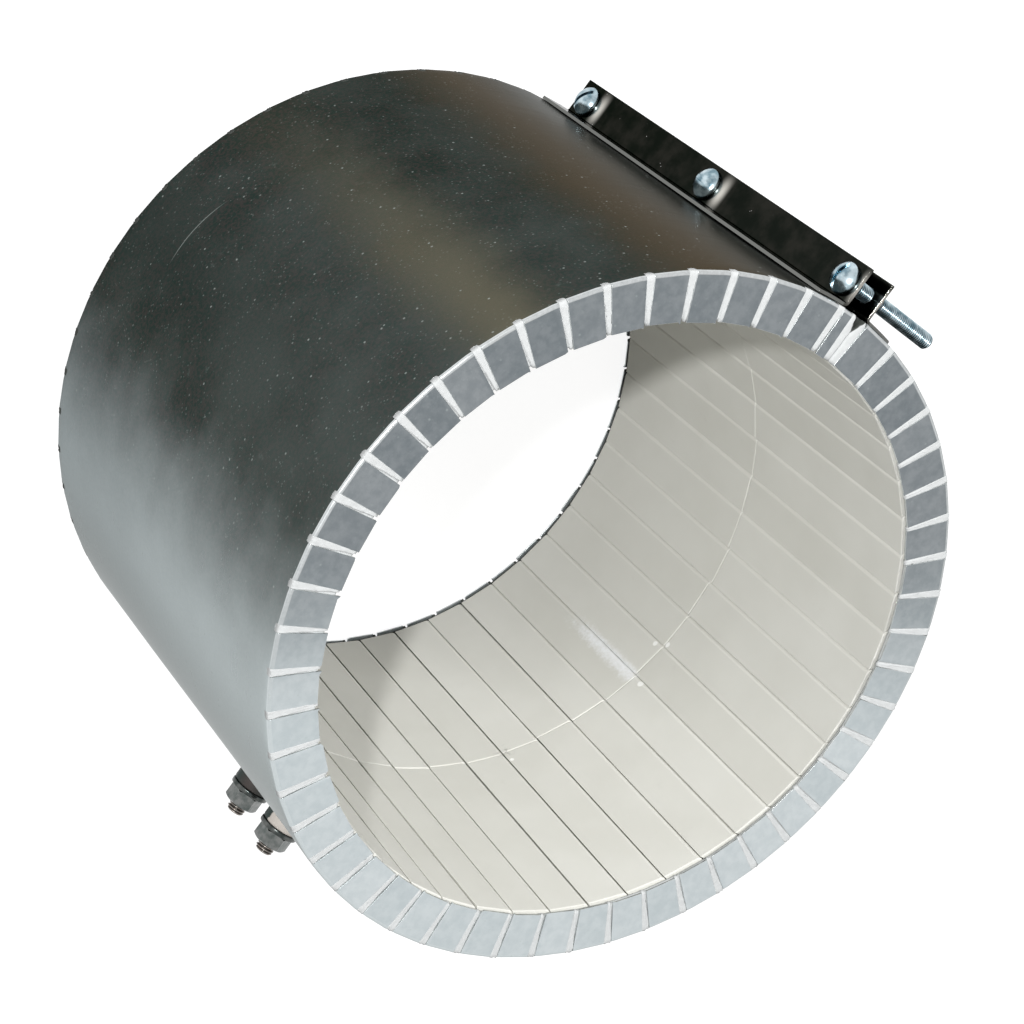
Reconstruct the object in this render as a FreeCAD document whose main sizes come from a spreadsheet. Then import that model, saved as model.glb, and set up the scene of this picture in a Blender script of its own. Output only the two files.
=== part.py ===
import FreeCAD, Part
import math
import os

import Sketcher

# Ceramic band heater for the barrel of a moulding machine.
# The origin is the centre of the bore, halfway along the band. +Z runs along the bore.
# The split with its clamp lies at -X, and the two terminals at +X.

Vector = FreeCAD.Vector
Rotation = FreeCAD.Rotation
Placement = FreeCAD.Placement

DRIVING_SIZES = [
    # Name, value in millimetres, degrees or pieces, and what it is
    ("bore_radius", 95.0, "to the middle of the flat inner face of each tile"),
    ("band_length", 172.0, "over the folded tabs, along the bore"),
    ("tile_thickness", 10.0, "from the bore to the back of a tile"),
    ("tile_columns", 45, "columns of tiles around the bore"),
    ("tile_pitch_angle", 7.92, "from one column to the next"),
    ("tile_joint_gap", 0.35, "between two columns"),
    ("tile_end_gap", 0.3, "between the two tiles of a column"),
    ("knuckle_radius", 9.0, "round side of a tile and the hollow side that it rolls in"),
    ("tile_edge_round", 1.2, "rounding of the round side at the bore"),
    ("hairpin_space", 5.0, "depth of the step at the end of a tile, where the coil turns back"),
    ("tile_lip", 2.6, "thickness of the tile that is left beside that step"),
    ("coil_hole_radius", 2.1, "hole along each tile"),
    ("coil_radius", 1.8, "outside of the wound heating wire"),
    ("blanket_thickness", 4.8, "fibre between the tiles and the jacket"),
    ("blanket_end_thickness", 1.5, "fibre folded over the ends of the tiles"),
    ("blanket_edge_recess", 1.0, "from the bore out to the edge of the folded fibre"),
    ("blanket_split_gap", 1.6, "between the two ends of the fibre"),
    ("seat_gap", 0.1, "between layers that lie on each other"),
    ("lead_strip_width", 5.0, "strip that carries current from a terminal to the coil"),
    ("lead_strip_thickness", 0.4, "thickness of that strip"),
    ("sheet_thickness", 0.6, "jacket sheet"),
    ("fold_size", 1.2, "bevel of the fold at both rims"),
    ("tab_edge_setback", 0.05, "from the bore out to the edge of the tabs"),
    ("slit_count", 51, "slits in each rim"),
    ("slit_pitch_angle", 6.94, "from one slit to the next"),
    ("first_slit_angle", 6.9, "from the edge of the split to the first slit"),
    ("slit_width", 2.6, "width of a slit before the tabs are folded"),
    ("slit_depth", 2.2, "from the rim down to the round end of a slit"),
    ("split_gap", 7.0, "between the two ends of the jacket"),
    ("clamp_sheet", 1.0, "sheet of the clamp brackets"),
    ("clamp_length", 166.0, "length of a clamp bracket along the bore"),
    ("clamp_wall_height", 13.0, "from the jacket to the top of a clamp wall"),
    ("clamp_wall_spacing", 9.0, "between the two clamp walls"),
    ("clamp_foot_width", 11.0, "foot of a bracket along the jacket"),
    ("clamp_bend_radius", 0.5, "inside of the bend between foot and wall"),
    ("screw_end_distance", 6.5, "from the end of a clamp bracket to the outer screws"),
    ("screw_height", 6.5, "from the jacket to the axis of a clamp screw"),
    ("screw_radius", 2.5, "thread of a clamp screw"),
    ("screw_length", 40.0, "under the head of a clamp screw"),
    ("screw_point", 0.6, "chamfer at the end of every thread"),
    ("screw_head_radius", 5.0, "head of a clamp screw"),
    ("screw_head_height", 3.8, "head of a clamp screw"),
    ("screw_head_rim", 1.1, "straight part of the head above the wall"),
    ("screw_slot_width", 1.3, "slot for the driver"),
    ("screw_slot_depth", 1.8, "slot for the driver"),
    ("screw_hole_clearance", 0.3, "around a clamp screw in the walls"),
    ("thread_clearance", 0.05, "between a nut and its thread"),
    ("clamp_nut_flats", 8.0, "across the flats"),
    ("clamp_nut_height", 2.7, "thickness of a clamp nut"),
    ("nut_chamfer_angle", 30.0, "slope of the chamfer on the corners of every nut"),
    ("nut_face_share", 0.95, "round face of a nut, as a share of its width over the flats"),
    ("terminal_spacing", 23.5, "between the two terminals along the bore"),
    ("stud_radius", 3.0, "thread of a terminal stud"),
    ("stud_free_end", 3.0, "thread that stands out of the nut"),
    ("stud_head_radius", 5.4, "flat head inside the band"),
    ("stud_head_height", 1.4, "flat head inside the band"),
    ("bush_radius", 6.5, "ceramic bush outside the jacket"),
    ("bush_height", 9.2, "from the jacket to the top of the bush"),
    ("bush_edge_bevel", 0.7, "bevel around the top of the bush"),
    ("bush_spigot_radius", 4.8, "end of the bush that passes through the jacket"),
    ("bush_hole_clearance", 0.2, "around the spigot in the jacket"),
    ("bush_bore_clearance", 0.15, "around the stud in the bush"),
    ("washer_radius", 6.6, "terminal washer"),
    ("washer_thickness", 1.6, "terminal washer"),
    ("washer_hole_clearance", 0.3, "around the stud in the washer"),
    ("terminal_nut_flats", 10.0, "across the flats"),
    ("terminal_nut_height", 5.0, "thickness of a terminal nut"),
]

doc = FreeCAD.newDocument("BandHeater")
sheet = doc.addObject("Spreadsheet::Sheet", "Sizes")
for row, (alias, number, meaning) in enumerate(DRIVING_SIZES, start=1):
    sheet.set(f"A{row}", str(number))
    sheet.setAlias(f"A{row}", alias)
    sheet.set(f"B{row}", meaning)
doc.recompute()

# Radii and heights that follow from the driving sizes
TILE_BACK = "(Sizes.bore_radius + Sizes.tile_thickness)"
BLANKET_INSIDE = f"({TILE_BACK} + Sizes.seat_gap)"
BLANKET_OUTSIDE = f"({BLANKET_INSIDE} + Sizes.blanket_thickness)"
JACKET_INSIDE = f"({BLANKET_OUTSIDE} + Sizes.seat_gap)"
JACKET_RADIUS = f"({JACKET_INSIDE} + Sizes.sheet_thickness)"
TAB_EDGE = "(Sizes.bore_radius + Sizes.tab_edge_setback)"
HALF_LENGTH = "(Sizes.band_length / 2)"
BLANKET_END = f"({HALF_LENGTH} - Sizes.sheet_thickness - Sizes.seat_gap)"
TILE_END = f"({BLANKET_END} - Sizes.blanket_end_thickness - Sizes.seat_gap)"
COIL_CENTRE = "(Sizes.bore_radius + Sizes.tile_thickness / 2)"
HAIRPIN_HEIGHT = f"({TILE_END} - Sizes.coil_radius - Sizes.seat_gap)"
STRIP_INSIDE = BLANKET_INSIDE
STRIP_OUTSIDE = f"({STRIP_INSIDE} + Sizes.lead_strip_thickness)"
FIRST_COLUMN = "(Sizes.tile_pitch_angle * (Sizes.tile_columns - 1) / 2)"
STUD_INSIDE = f"({STRIP_OUTSIDE} + Sizes.seat_gap)"
WASHER_SEAT = f"({JACKET_RADIUS} + Sizes.bush_height)"
NUT_SEAT = f"({WASHER_SEAT} + Sizes.washer_thickness)"
WALL_INNER = "(Sizes.clamp_wall_spacing / 2)"
WALL_OUTER = f"({WALL_INNER} + Sizes.clamp_sheet)"
SCREW_AXIS = f"({JACKET_RADIUS} + Sizes.screw_height)"
SCREW_SPACING = "(Sizes.clamp_length / 2 - Sizes.screw_end_distance)"
FOLD_MITRE = "(Sizes.sheet_thickness * tan(22.5))"
EDGE_ALLOWANCE = 2.0  # how far a cutting shape reaches past the material


def value(expression):
    """The present number of an expression on the size sheet."""
    result = sheet.evalExpression(str(expression))
    return float(getattr(result, "Value", result))


def half_angle(half_width, radius):
    """Expression for the angle in degrees that a half width takes up on a radius."""
    return f"(asin({half_width} / {radius}) / 1 deg)"


def new_body(label):
    body = doc.addObject("PartDesign::Body", label)
    body.Label = label
    return body


def new_sketch(body, name, plane, height=None, turn=None, turn_axis=Vector(0, 0, 1)):
    """Sketch on one of the body's own planes, moved along its normal and turned."""
    sketch = body.newObject("Sketcher::SketchObject", f"{body.Name}_{name}")
    origin_plane = [f for f in body.Origin.OriginFeatures if f.Role == plane][0]
    sketch.AttachmentSupport = [(origin_plane, "")]
    sketch.MapMode = "FlatFace"
    if turn is not None:
        sketch.AttachmentOffset = Placement(Vector(0, 0, 0), Rotation(turn_axis, value(turn)))
        sketch.setExpression("AttachmentOffset.Rotation.Angle", turn)
    if height is not None:
        sketch.setExpression("AttachmentOffset.Base.z", height)
    return sketch


def pin_point(sketch, name, geometry, position, x, y):
    """Tie one point of the sketch to two expressions."""
    for kind, expression, axis in (("DistanceX", x, -2), ("DistanceY", y, -1)):
        if expression == "0":
            sketch.addConstraint(Sketcher.Constraint("PointOnObject", geometry, position, axis))
            continue
        constraint = Sketcher.Constraint(kind, -1, 1, geometry, position, value(expression))
        index = sketch.addConstraint(constraint)
        sketch.renameConstraint(index, f"{name}_{kind[-1].lower()}")
        sketch.setExpression(f"Constraints[{index}]", expression)


def arc_between(start, end, radius, turns_left):
    """Arc of less than half a turn, and whether it runs from start to end."""
    chord = end - start
    half = chord.Length / 2
    rise = math.sqrt(max(radius * radius - half * half, 0.0))
    side = Vector(-chord.y, chord.x, 0).normalize() * (rise if turns_left else -rise)
    centre = (start + end) * 0.5 + side
    first, last = (start, end) if turns_left else (end, start)
    angles = [math.atan2(p.y - centre.y, p.x - centre.x) for p in (first, last)]
    if angles[1] < angles[0]:
        angles[1] += 2 * math.pi
    circle = Part.Circle(centre, Vector(0, 0, 1), radius)
    return Part.ArcOfCircle(circle, angles[0], angles[1])


def outline(sketch, corners, arcs=None):
    """Closed outline; arcs gives side number: (radius, whether it turns left)."""
    arcs = arcs or {}
    points = [Vector(value(x), value(y), 0) for x, y in corners]
    ends = []
    first_geometry = sketch.GeometryCount
    for side, start in enumerate(points):
        end = points[(side + 1) % len(points)]
        if side in arcs:
            radius, turns_left = arcs[side]
            geometry = arc_between(start, end, value(radius), turns_left)
            ends.append((1, 2) if turns_left else (2, 1))
        else:
            geometry = Part.LineSegment(start, end)
            ends.append((1, 2))
        sketch.addGeometry(geometry, False)
    for side, (x, y) in enumerate(corners):
        before = (side - 1) % len(corners)
        sketch.addConstraint(Sketcher.Constraint(
            "Coincident", first_geometry + before, ends[before][1],
            first_geometry + side, ends[side][0]))
    for side, (x, y) in enumerate(corners):
        pin_point(sketch, f"corner_{side}", first_geometry + side, ends[side][0], x, y)
    for side, (radius, turns_left) in arcs.items():
        index = sketch.addConstraint(
            Sketcher.Constraint("Radius", first_geometry + side, value(radius)))
        sketch.renameConstraint(index, f"arc_{side}_radius")
        sketch.setExpression(f"Constraints[{index}]", radius)


def circle(sketch, x, y, radius, name="circle"):
    """Round outline at a point given by two expressions."""
    shape = Part.Circle(Vector(value(x), value(y), 0), Vector(0, 0, 1), value(radius))
    geometry = sketch.addGeometry(shape, False)
    pin_point(sketch, name, geometry, 3, x, y)
    index = sketch.addConstraint(Sketcher.Constraint("Radius", geometry, value(radius)))
    sketch.renameConstraint(index, f"{name}_radius")
    sketch.setExpression(f"Constraints[{index}]", radius)


def rectangle(sketch, left, bottom, right, top):
    outline(sketch, [(left, bottom), (right, bottom), (right, top), (left, top)])


def hexagon(sketch, across_flats):
    """Hexagon about the origin with two corners on the Y axis."""
    corner = f"({across_flats} / 2 / cos(30))"
    half = f"({across_flats} / 2)"
    outline(sketch, [("0", corner), (f"-{half}", f"{corner} / 2"), (f"-{half}", f"-{corner} / 2"),
                     ("0", f"-{corner}"), (half, f"-{corner} / 2"), (half, f"{corner} / 2")])


def add_feature(body, kind, name, sketch, **settings):
    """Solid feature on a sketch; text settings are expressions."""
    feature = body.newObject(f"PartDesign::{kind}", f"{body.Name}_{name}")
    feature.Profile = sketch
    for key, setting in settings.items():
        if isinstance(setting, str) and key in ("Length", "Angle"):
            feature.setExpression(key, setting)
        else:
            setattr(feature, key, setting)
    sketch.Visibility = False
    return feature


def turned_solid(body, kind, name, sketch, angle="360", **settings):
    """Revolution or groove about the sketch's upright axis."""
    return add_feature(body, kind, name, sketch, ReferenceAxis=(sketch, ["V_Axis"]),
                       Angle=angle, **settings)


def around(body, name, originals, count, step):
    """Copies of features around the Z axis of the body, in falling angles."""
    pattern = body.newObject("PartDesign::PolarPattern", f"{body.Name}_{name}")
    pattern.Originals = originals
    z_axis = [f for f in body.Origin.OriginFeatures if f.Role == "Z_Axis"][0]
    pattern.Axis = (z_axis, [""])
    pattern.Mode = "Spacing"
    pattern.setExpression("Occurrences", count)
    pattern.setExpression("Offset", step)
    pattern.Reversed = True
    body.Tip = pattern
    return pattern


def place(body, x="0", y="0", z="0", rotation=None):
    """Put a finished body in the band, by expressions."""
    if rotation is not None:
        body.Placement = Placement(Vector(0, 0, 0), rotation)
    for axis, expression in zip("xyz", (x, y, z)):
        body.setExpression(f"Placement.Base.{axis}", expression)


def edges_along_z(shape, x, y):
    """Names of the straight upright edges that pass through a point in plan."""
    names = []
    for number, edge in enumerate(shape.Edges, start=1):
        first, last = edge.Vertexes[0].Point, edge.Vertexes[-1].Point
        upright = math.hypot(first.x - last.x, first.y - last.y) < 1e-6
        if upright and math.hypot(first.x - x, first.y - y) < 1e-3:
            names.append(f"Edge{number}")
    return names


HALF_TURN_ABOUT_X = Rotation(Vector(1, 0, 0), 180)


def build_jacket():
    """One sheet, rolled round, with a row of folded tabs at both rims."""
    body = new_body("outer_jacket")
    wall = new_sketch(body, "wall_section", "XZ_Plane")
    fold_line = f"({JACKET_RADIUS} - Sizes.fold_size)"
    rim = f"({HALF_LENGTH} - Sizes.fold_size)"
    inner_face = f"({HALF_LENGTH} - Sizes.sheet_thickness)"
    inner_fold_line = f"({fold_line} - {FOLD_MITRE})"
    inner_rim = f"({rim} - {FOLD_MITRE})"
    outline(wall, [
        (TAB_EDGE, f"-{HALF_LENGTH}"), (fold_line, f"-{HALF_LENGTH}"),
        (JACKET_RADIUS, f"-{rim}"), (JACKET_RADIUS, rim),
        (fold_line, HALF_LENGTH), (TAB_EDGE, HALF_LENGTH),
        (TAB_EDGE, inner_face), (inner_fold_line, inner_face),
        (JACKET_INSIDE, inner_rim), (JACKET_INSIDE, f"-{inner_rim}"),
        (inner_fold_line, f"-{inner_face}"), (TAB_EDGE, f"-{inner_face}"),
    ])
    turned_solid(body, "Revolution", "rolled_sheet", wall)

    split = new_sketch(body, "split", "XY_Plane", height=f"{HALF_LENGTH}")
    reach = f"({JACKET_RADIUS} + {EDGE_ALLOWANCE})"
    rectangle(split, f"-{reach}", "-Sizes.split_gap / 2", "-Sizes.bore_radius / 2",
              "Sizes.split_gap / 2")
    add_feature(body, "Pocket", "split_cut", split, Length="Sizes.band_length")

    # The sides of a slit are square to the tabs, so it narrows towards the bore
    split_edge = half_angle("Sizes.split_gap / 2", JACKET_RADIUS)
    first_slit = f"(180 - {split_edge} - Sizes.first_slit_angle)"
    half_pitch = "(Sizes.slit_pitch_angle / 2)"
    inner_x = f"({TAB_EDGE} - {EDGE_ALLOWANCE})"
    outer_half = f"(Sizes.slit_width / 2 + ({EDGE_ALLOWANCE}) * tan({half_pitch}))"
    inner_half = (f"(Sizes.slit_width / 2 - ({JACKET_RADIUS} - {inner_x})"
                  f" * tan({half_pitch}))")
    for rim_name, level in (("rear", f"(Sizes.fold_size - {HALF_LENGTH})"),
                            ("front", f"({HALF_LENGTH} + {EDGE_ALLOWANCE})")):
        slit = new_sketch(body, f"{rim_name}_slit", "XY_Plane", height=level, turn=first_slit)
        outline(slit, [(inner_x, f"-{inner_half}"), (reach, f"-{outer_half}"),
                       (reach, outer_half), (inner_x, inner_half)])
        cut = add_feature(body, "Pocket", f"{rim_name}_slit_cut", slit,
                          Length=f"(Sizes.fold_size + {EDGE_ALLOWANCE})")
        around(body, f"{rim_name}_slits", [cut], "Sizes.slit_count", "Sizes.slit_pitch_angle")

    # Each slit runs a little way down the wall and ends in a flat arc
    half_width = "(Sizes.slit_width / 2)"
    depth = "(Sizes.slit_depth - Sizes.fold_size)"
    root = f"({HALF_LENGTH} - Sizes.fold_size)"
    root_radius = f"(({half_width} ^ 2 + {depth} ^ 2) / 2 / {depth})"
    top = f"({HALF_LENGTH} - Sizes.fold_size / 2)"
    for rim_name, sign in (("rear", "-"), ("front", "")):
        notch = new_sketch(body, f"{rim_name}_notch", "YZ_Plane",
                           height=f"({JACKET_RADIUS} - Sizes.fold_size)",
                           turn=first_slit, turn_axis=Vector(0, 1, 0))
        upwards = sign == ""
        corners = [(f"-{half_width}", f"{sign}{root}"), (half_width, f"{sign}{root}"),
                   (half_width, f"{sign}{top}"), (f"-{half_width}", f"{sign}{top}")]
        outline(notch, corners, arcs={0: (root_radius, upwards)})
        cut = add_feature(body, "Pocket", f"{rim_name}_notch_cut", notch, Reversed=True,
                          Length=f"(Sizes.fold_size + {EDGE_ALLOWANCE})")
        around(body, f"{rim_name}_notches", [cut], "Sizes.slit_count",
               "Sizes.slit_pitch_angle")

    holes = new_sketch(body, "terminal_holes", "YZ_Plane",
                       height=f"({JACKET_INSIDE} - {EDGE_ALLOWANCE})")
    for name, sign in (("rear", "-"), ("front", "")):
        circle(holes, "0", f"{sign}Sizes.terminal_spacing / 2",
               "Sizes.bush_spigot_radius + Sizes.bush_hole_clearance", name)
    add_feature(body, "Pocket", "terminal_hole_cut", holes, Reversed=True,
                Length=f"(Sizes.sheet_thickness + 2 * {EDGE_ALLOWANCE})")
    return body


def build_blanket():
    """Fibre mat between tiles and jacket, folded in over the ends of the tiles."""
    body = new_body("insulation_blanket")
    section = new_sketch(body, "section", "XZ_Plane")
    edge = "(Sizes.bore_radius + Sizes.blanket_edge_recess)"
    fold = f"({BLANKET_END} - Sizes.blanket_end_thickness)"
    corner = f"(Sizes.fold_size - Sizes.sheet_thickness + {FOLD_MITRE})"
    corner_radius = f"({BLANKET_OUTSIDE} - {corner})"
    corner_level = f"({BLANKET_END} - {corner})"
    outline(section, [
        (edge, f"-{BLANKET_END}"), (corner_radius, f"-{BLANKET_END}"),
        (BLANKET_OUTSIDE, f"-{corner_level}"), (BLANKET_OUTSIDE, corner_level),
        (corner_radius, BLANKET_END), (edge, BLANKET_END), (edge, fold),
        (BLANKET_INSIDE, fold), (BLANKET_INSIDE, f"-{fold}"), (edge, f"-{fold}"),
    ])
    turned_solid(body, "Revolution", "mat", section)

    split = new_sketch(body, "split", "XY_Plane", height=HALF_LENGTH)
    rectangle(split, f"-({JACKET_RADIUS} + {EDGE_ALLOWANCE})", "-Sizes.blanket_split_gap / 2",
              "-Sizes.bore_radius / 2", "Sizes.blanket_split_gap / 2")
    add_feature(body, "Pocket", "split_cut", split, Length="Sizes.band_length")

    holes = new_sketch(body, "terminal_holes", "YZ_Plane",
                       height=f"({BLANKET_INSIDE} - {EDGE_ALLOWANCE})")
    for name, sign in (("rear", "-"), ("front", "")):
        circle(holes, "0", f"{sign}Sizes.terminal_spacing / 2",
               "Sizes.stud_head_radius + Sizes.seat_gap", name)
    add_feature(body, "Pocket", "terminal_hole_cut", holes, Reversed=True,
                Length=f"(Sizes.blanket_thickness + 2 * {EDGE_ALLOWANCE})")

    # Grooves for the two lead strips: one around the mat and one down to the rim
    depth = f"({STRIP_OUTSIDE} + Sizes.seat_gap)"
    half_width = "(Sizes.lead_strip_width / 2 + Sizes.seat_gap)"
    start = f"({BLANKET_INSIDE} - {EDGE_ALLOWANCE})"
    half_leg = half_angle(half_width, TILE_BACK)
    for name, sign in (("rear", "-"), ("front", "")):
        level = f"({sign}Sizes.terminal_spacing / 2)"
        ring = new_sketch(body, f"{name}_ring_groove", "XZ_Plane", turn=f"-({half_leg})"
                          if sign == "" else half_leg, turn_axis=Vector(0, 1, 0))
        rectangle(ring, start, f"{level} - {half_width}", depth, f"{level} + {half_width}")
        turned_solid(body, "Groove", f"{name}_ring_groove_cut", ring,
                     angle=f"{FIRST_COLUMN} + 2 * {half_leg}", Reversed=sign == "-")
        turn = f"({FIRST_COLUMN} - {half_leg})" if sign == "" else f"({half_leg} - {FIRST_COLUMN})"
        leg = new_sketch(body, f"{name}_leg_groove", "XZ_Plane", turn=turn,
                         turn_axis=Vector(0, 1, 0))
        low, high = (level, fold) if sign == "" else (f"-{fold}", level)
        rectangle(leg, start, low, depth, high)
        turned_solid(body, "Groove", f"{name}_leg_groove_cut", leg, angle=f"2 * {half_leg}",
                     Reversed=sign == "-")
    return body


def build_tile():
    """One front tile at +X. Its inner face is flat, and its round side rolls in the hollow
    side of its neighbour.
    """
    body = new_body("ceramic_tile")
    face = new_sketch(body, "outline", "XY_Plane", height="Sizes.tile_end_gap / 2")
    gap_angle = "(Sizes.tile_joint_gap / 2 / Sizes.bore_radius * 180 / pi)"
    side = f"(Sizes.tile_pitch_angle / 2 - {gap_angle})"
    inner = ("Sizes.bore_radius", f"Sizes.bore_radius * tan({side})")
    outer = (f"{TILE_BACK} * cos({side})", f"{TILE_BACK} * sin({side})")
    outline(face, [
        (inner[0], f"-{inner[1]}"), inner, outer, (outer[0], f"-{outer[1]}"),
    ], arcs={1: ("Sizes.knuckle_radius", False), 3: ("Sizes.knuckle_radius", True)})
    circle(face, COIL_CENTRE, "0", "Sizes.coil_hole_radius", "coil_hole")
    block = add_feature(body, "Pad", "block", face,
                        Length=f"{TILE_END} - Sizes.tile_end_gap / 2")
    doc.recompute()

    names = edges_along_z(block.Shape, value(inner[0]), value(inner[1]))
    rounding = body.newObject("PartDesign::Fillet", "ceramic_tile_edge")
    rounding.Base = (block, names)
    rounding.setExpression("Radius", "Sizes.tile_edge_round")

    step = new_sketch(body, "hairpin_step", "XY_Plane", height=TILE_END)
    rectangle(step, "Sizes.bore_radius + Sizes.tile_lip", "-Sizes.tile_thickness * 2",
              f"{TILE_BACK} + {EDGE_ALLOWANCE}", "Sizes.tile_thickness * 2")
    add_feature(body, "Pocket", "hairpin_step_cut", step, Length="Sizes.hairpin_space")
    doc.recompute()
    return body


def build_tile_sets(tile):
    """Columns of two tiles, three columns to a set."""
    columns = int(value("Sizes.tile_columns"))
    columns_in_set = 3
    front = tile.Shape.copy()
    rear = front.mirror(Vector(0, 0, 0), Vector(0, 0, 1))
    sets = []
    for first in range(0, columns, columns_in_set):
        solids = []
        for column in range(first, min(first + columns_in_set, columns)):
            angle = value(f"{column} * Sizes.tile_pitch_angle - {FIRST_COLUMN}")
            for blank in (rear, front):
                solid = blank.Solids[0].copy()
                solid.rotate(Vector(0, 0, 0), Vector(0, 0, 1), angle)
                solids.append(solid)
        label = f"tile_set_{first // columns_in_set + 1:02d}"
        feature = doc.addObject("Part::Feature", label)
        feature.Label = label
        feature.Shape = Part.makeCompound(solids)
        feature.Placement = Placement()
        sets.append(feature)
    return sets


def build_coil():
    """Heating coil: up one column of tiles and down the next, from split to split."""
    columns = int(value("Sizes.tile_columns"))
    radius = value(COIL_CENTRE)
    height = value(HAIRPIN_HEIGHT)
    tail = value(STRIP_INSIDE)
    points = []
    for column in range(columns):
        angle = math.radians(value(f"{column} * Sizes.tile_pitch_angle - {FIRST_COLUMN}"))
        outwards = Vector(math.cos(angle), math.sin(angle), 0)
        ends = (-height, height) if column % 2 == 0 else (height, -height)
        if column == 0:
            points.append(outwards * tail + Vector(0, 0, ends[0]))
        points += [outwards * radius + Vector(0, 0, end) for end in ends]
        if column == columns - 1:
            points.append(outwards * tail + Vector(0, 0, ends[1]))
    path = Part.makePolygon(points)
    section = Part.Wire(Part.makeCircle(value("Sizes.coil_radius"), points[0],
                                        points[1] - points[0]))
    right_corners = 1
    coil = doc.addObject("Part::Feature", "heating_coil")
    coil.Label = "heating_coil"
    coil.Shape = path.makePipeShell([section], True, False, right_corners)
    coil.Placement = Placement()
    return coil


def build_lead_strip(name, turned):
    """Strip from under a stud head, around the tiles, and down to the coil's end."""
    body = new_body(name)
    level = "(Sizes.terminal_spacing / 2)"
    half_width = "(Sizes.lead_strip_width / 2)"
    half_leg = half_angle(half_width, TILE_BACK)
    ring = new_sketch(body, "ring", "XZ_Plane", turn=f"-({half_leg})",
                      turn_axis=Vector(0, 1, 0))
    rectangle(ring, STRIP_INSIDE, f"{level} - {half_width}", STRIP_OUTSIDE,
              f"{level} + {half_width}")
    turned_solid(body, "Revolution", "ring_strip", ring, angle=f"{FIRST_COLUMN} + 2 * {half_leg}")
    leg = new_sketch(body, "leg", "XZ_Plane", turn=f"({FIRST_COLUMN} - {half_leg})",
                     turn_axis=Vector(0, 1, 0))
    end = f"({BLANKET_END} - Sizes.blanket_end_thickness - Sizes.seat_gap)"
    rectangle(leg, STRIP_INSIDE, f"{level} - {half_width}", STRIP_OUTSIDE, end)
    turned_solid(body, "Revolution", "leg_strip", leg, angle=f"2 * {half_leg}")
    if turned:
        body.Placement = Placement(Vector(0, 0, 0), HALF_TURN_ABOUT_X)
    return body


def build_bracket(name, turned):
    """Sheet angle: a foot on the jacket and a wall beside the split."""
    body = new_body(name)
    seat = f"({JACKET_RADIUS} + Sizes.seat_gap)"
    back = f"({seat} + Sizes.clamp_sheet)"
    top = f"({JACKET_RADIUS} + Sizes.clamp_wall_height)"
    inner_bend = "Sizes.clamp_bend_radius"
    outer_bend = "(Sizes.clamp_bend_radius + Sizes.clamp_sheet)"
    foot_end = f"({WALL_OUTER} + Sizes.clamp_foot_width)"
    bend_end = f"({WALL_OUTER} + {inner_bend})"

    def on_circle(radius, y):
        return f"sqrt({radius} * {radius} - {y} * {y})"

    section = new_sketch(body, "section", "XY_Plane")
    outline(section, [
        (f"-{top}", WALL_INNER),
        (f"-({on_circle(seat, bend_end)} + {outer_bend})", WALL_INNER),
        (f"-{on_circle(seat, bend_end)}", bend_end),
        (f"-{on_circle(seat, foot_end)}", foot_end),
        (f"-{on_circle(back, foot_end)}", foot_end),
        (f"-{on_circle(back, bend_end)}", bend_end),
        (f"-({on_circle(back, bend_end)} + {inner_bend})", WALL_OUTER),
        (f"-{top}", WALL_OUTER),
    ], arcs={1: (f"{outer_bend}", True), 2: (seat, False), 4: (back, True),
             5: (f"{inner_bend} * 1.0001", False)})
    add_feature(body, "Pad", "angle", section, SideType="Symmetric",
                Length="Sizes.clamp_length")

    holes = new_sketch(body, "screw_holes", "XZ_Plane")
    for hole, step in (("rear", f"-{SCREW_SPACING}"), ("middle", "0"),
                       ("front", SCREW_SPACING)):
        circle(holes, f"-{SCREW_AXIS}", step,
               "Sizes.screw_radius + Sizes.screw_hole_clearance", hole)
    add_feature(body, "Pocket", "screw_hole_cut", holes, SideType="Symmetric",
                Length=f"2 * {WALL_OUTER} + {EDGE_ALLOWANCE}")
    if turned:
        body.Placement = Placement(Vector(0, 0, 0), HALF_TURN_ABOUT_X)
    return body


def build_clamp_screw(number, level, slot_angle):
    """Slotted screw with a domed head. Its own +Z runs from the head to the point."""
    body = new_body(f"clamp_screw_{number}")
    half = new_sketch(body, "half_section", "XZ_Plane")
    point = "Sizes.screw_point"
    dome = (f"((Sizes.screw_head_radius * Sizes.screw_head_radius"
            f" + (Sizes.screw_head_height - Sizes.screw_head_rim) ^ 2)"
            f" / 2 / (Sizes.screw_head_height - Sizes.screw_head_rim))")
    outline(half, [
        ("0", "-Sizes.screw_head_height"),
        ("Sizes.screw_head_radius", "-Sizes.screw_head_rim"),
        ("Sizes.screw_head_radius", "0"), ("Sizes.screw_radius", "0"),
        ("Sizes.screw_radius", f"Sizes.screw_length - {point}"),
        (f"Sizes.screw_radius - {point}", "Sizes.screw_length"), ("0", "Sizes.screw_length"),
    ], arcs={0: (dome, True)})
    turned_solid(body, "Revolution", "turned_form", half)
    slot = new_sketch(body, "slot", "XY_Plane", height="-Sizes.screw_head_height",
                      turn=slot_angle)
    reach = f"(Sizes.screw_head_radius + {EDGE_ALLOWANCE})"
    rectangle(slot, f"-{reach}", "-Sizes.screw_slot_width / 2", reach,
              "Sizes.screw_slot_width / 2")
    add_feature(body, "Pocket", "slot_cut", slot, Reversed=True,
                Length="Sizes.screw_slot_depth")
    place(body, f"-{SCREW_AXIS}", f"-{WALL_OUTER}", level,
          Rotation(Vector(0, 0, 1), Vector(0, 1, 0)))
    return body


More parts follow.
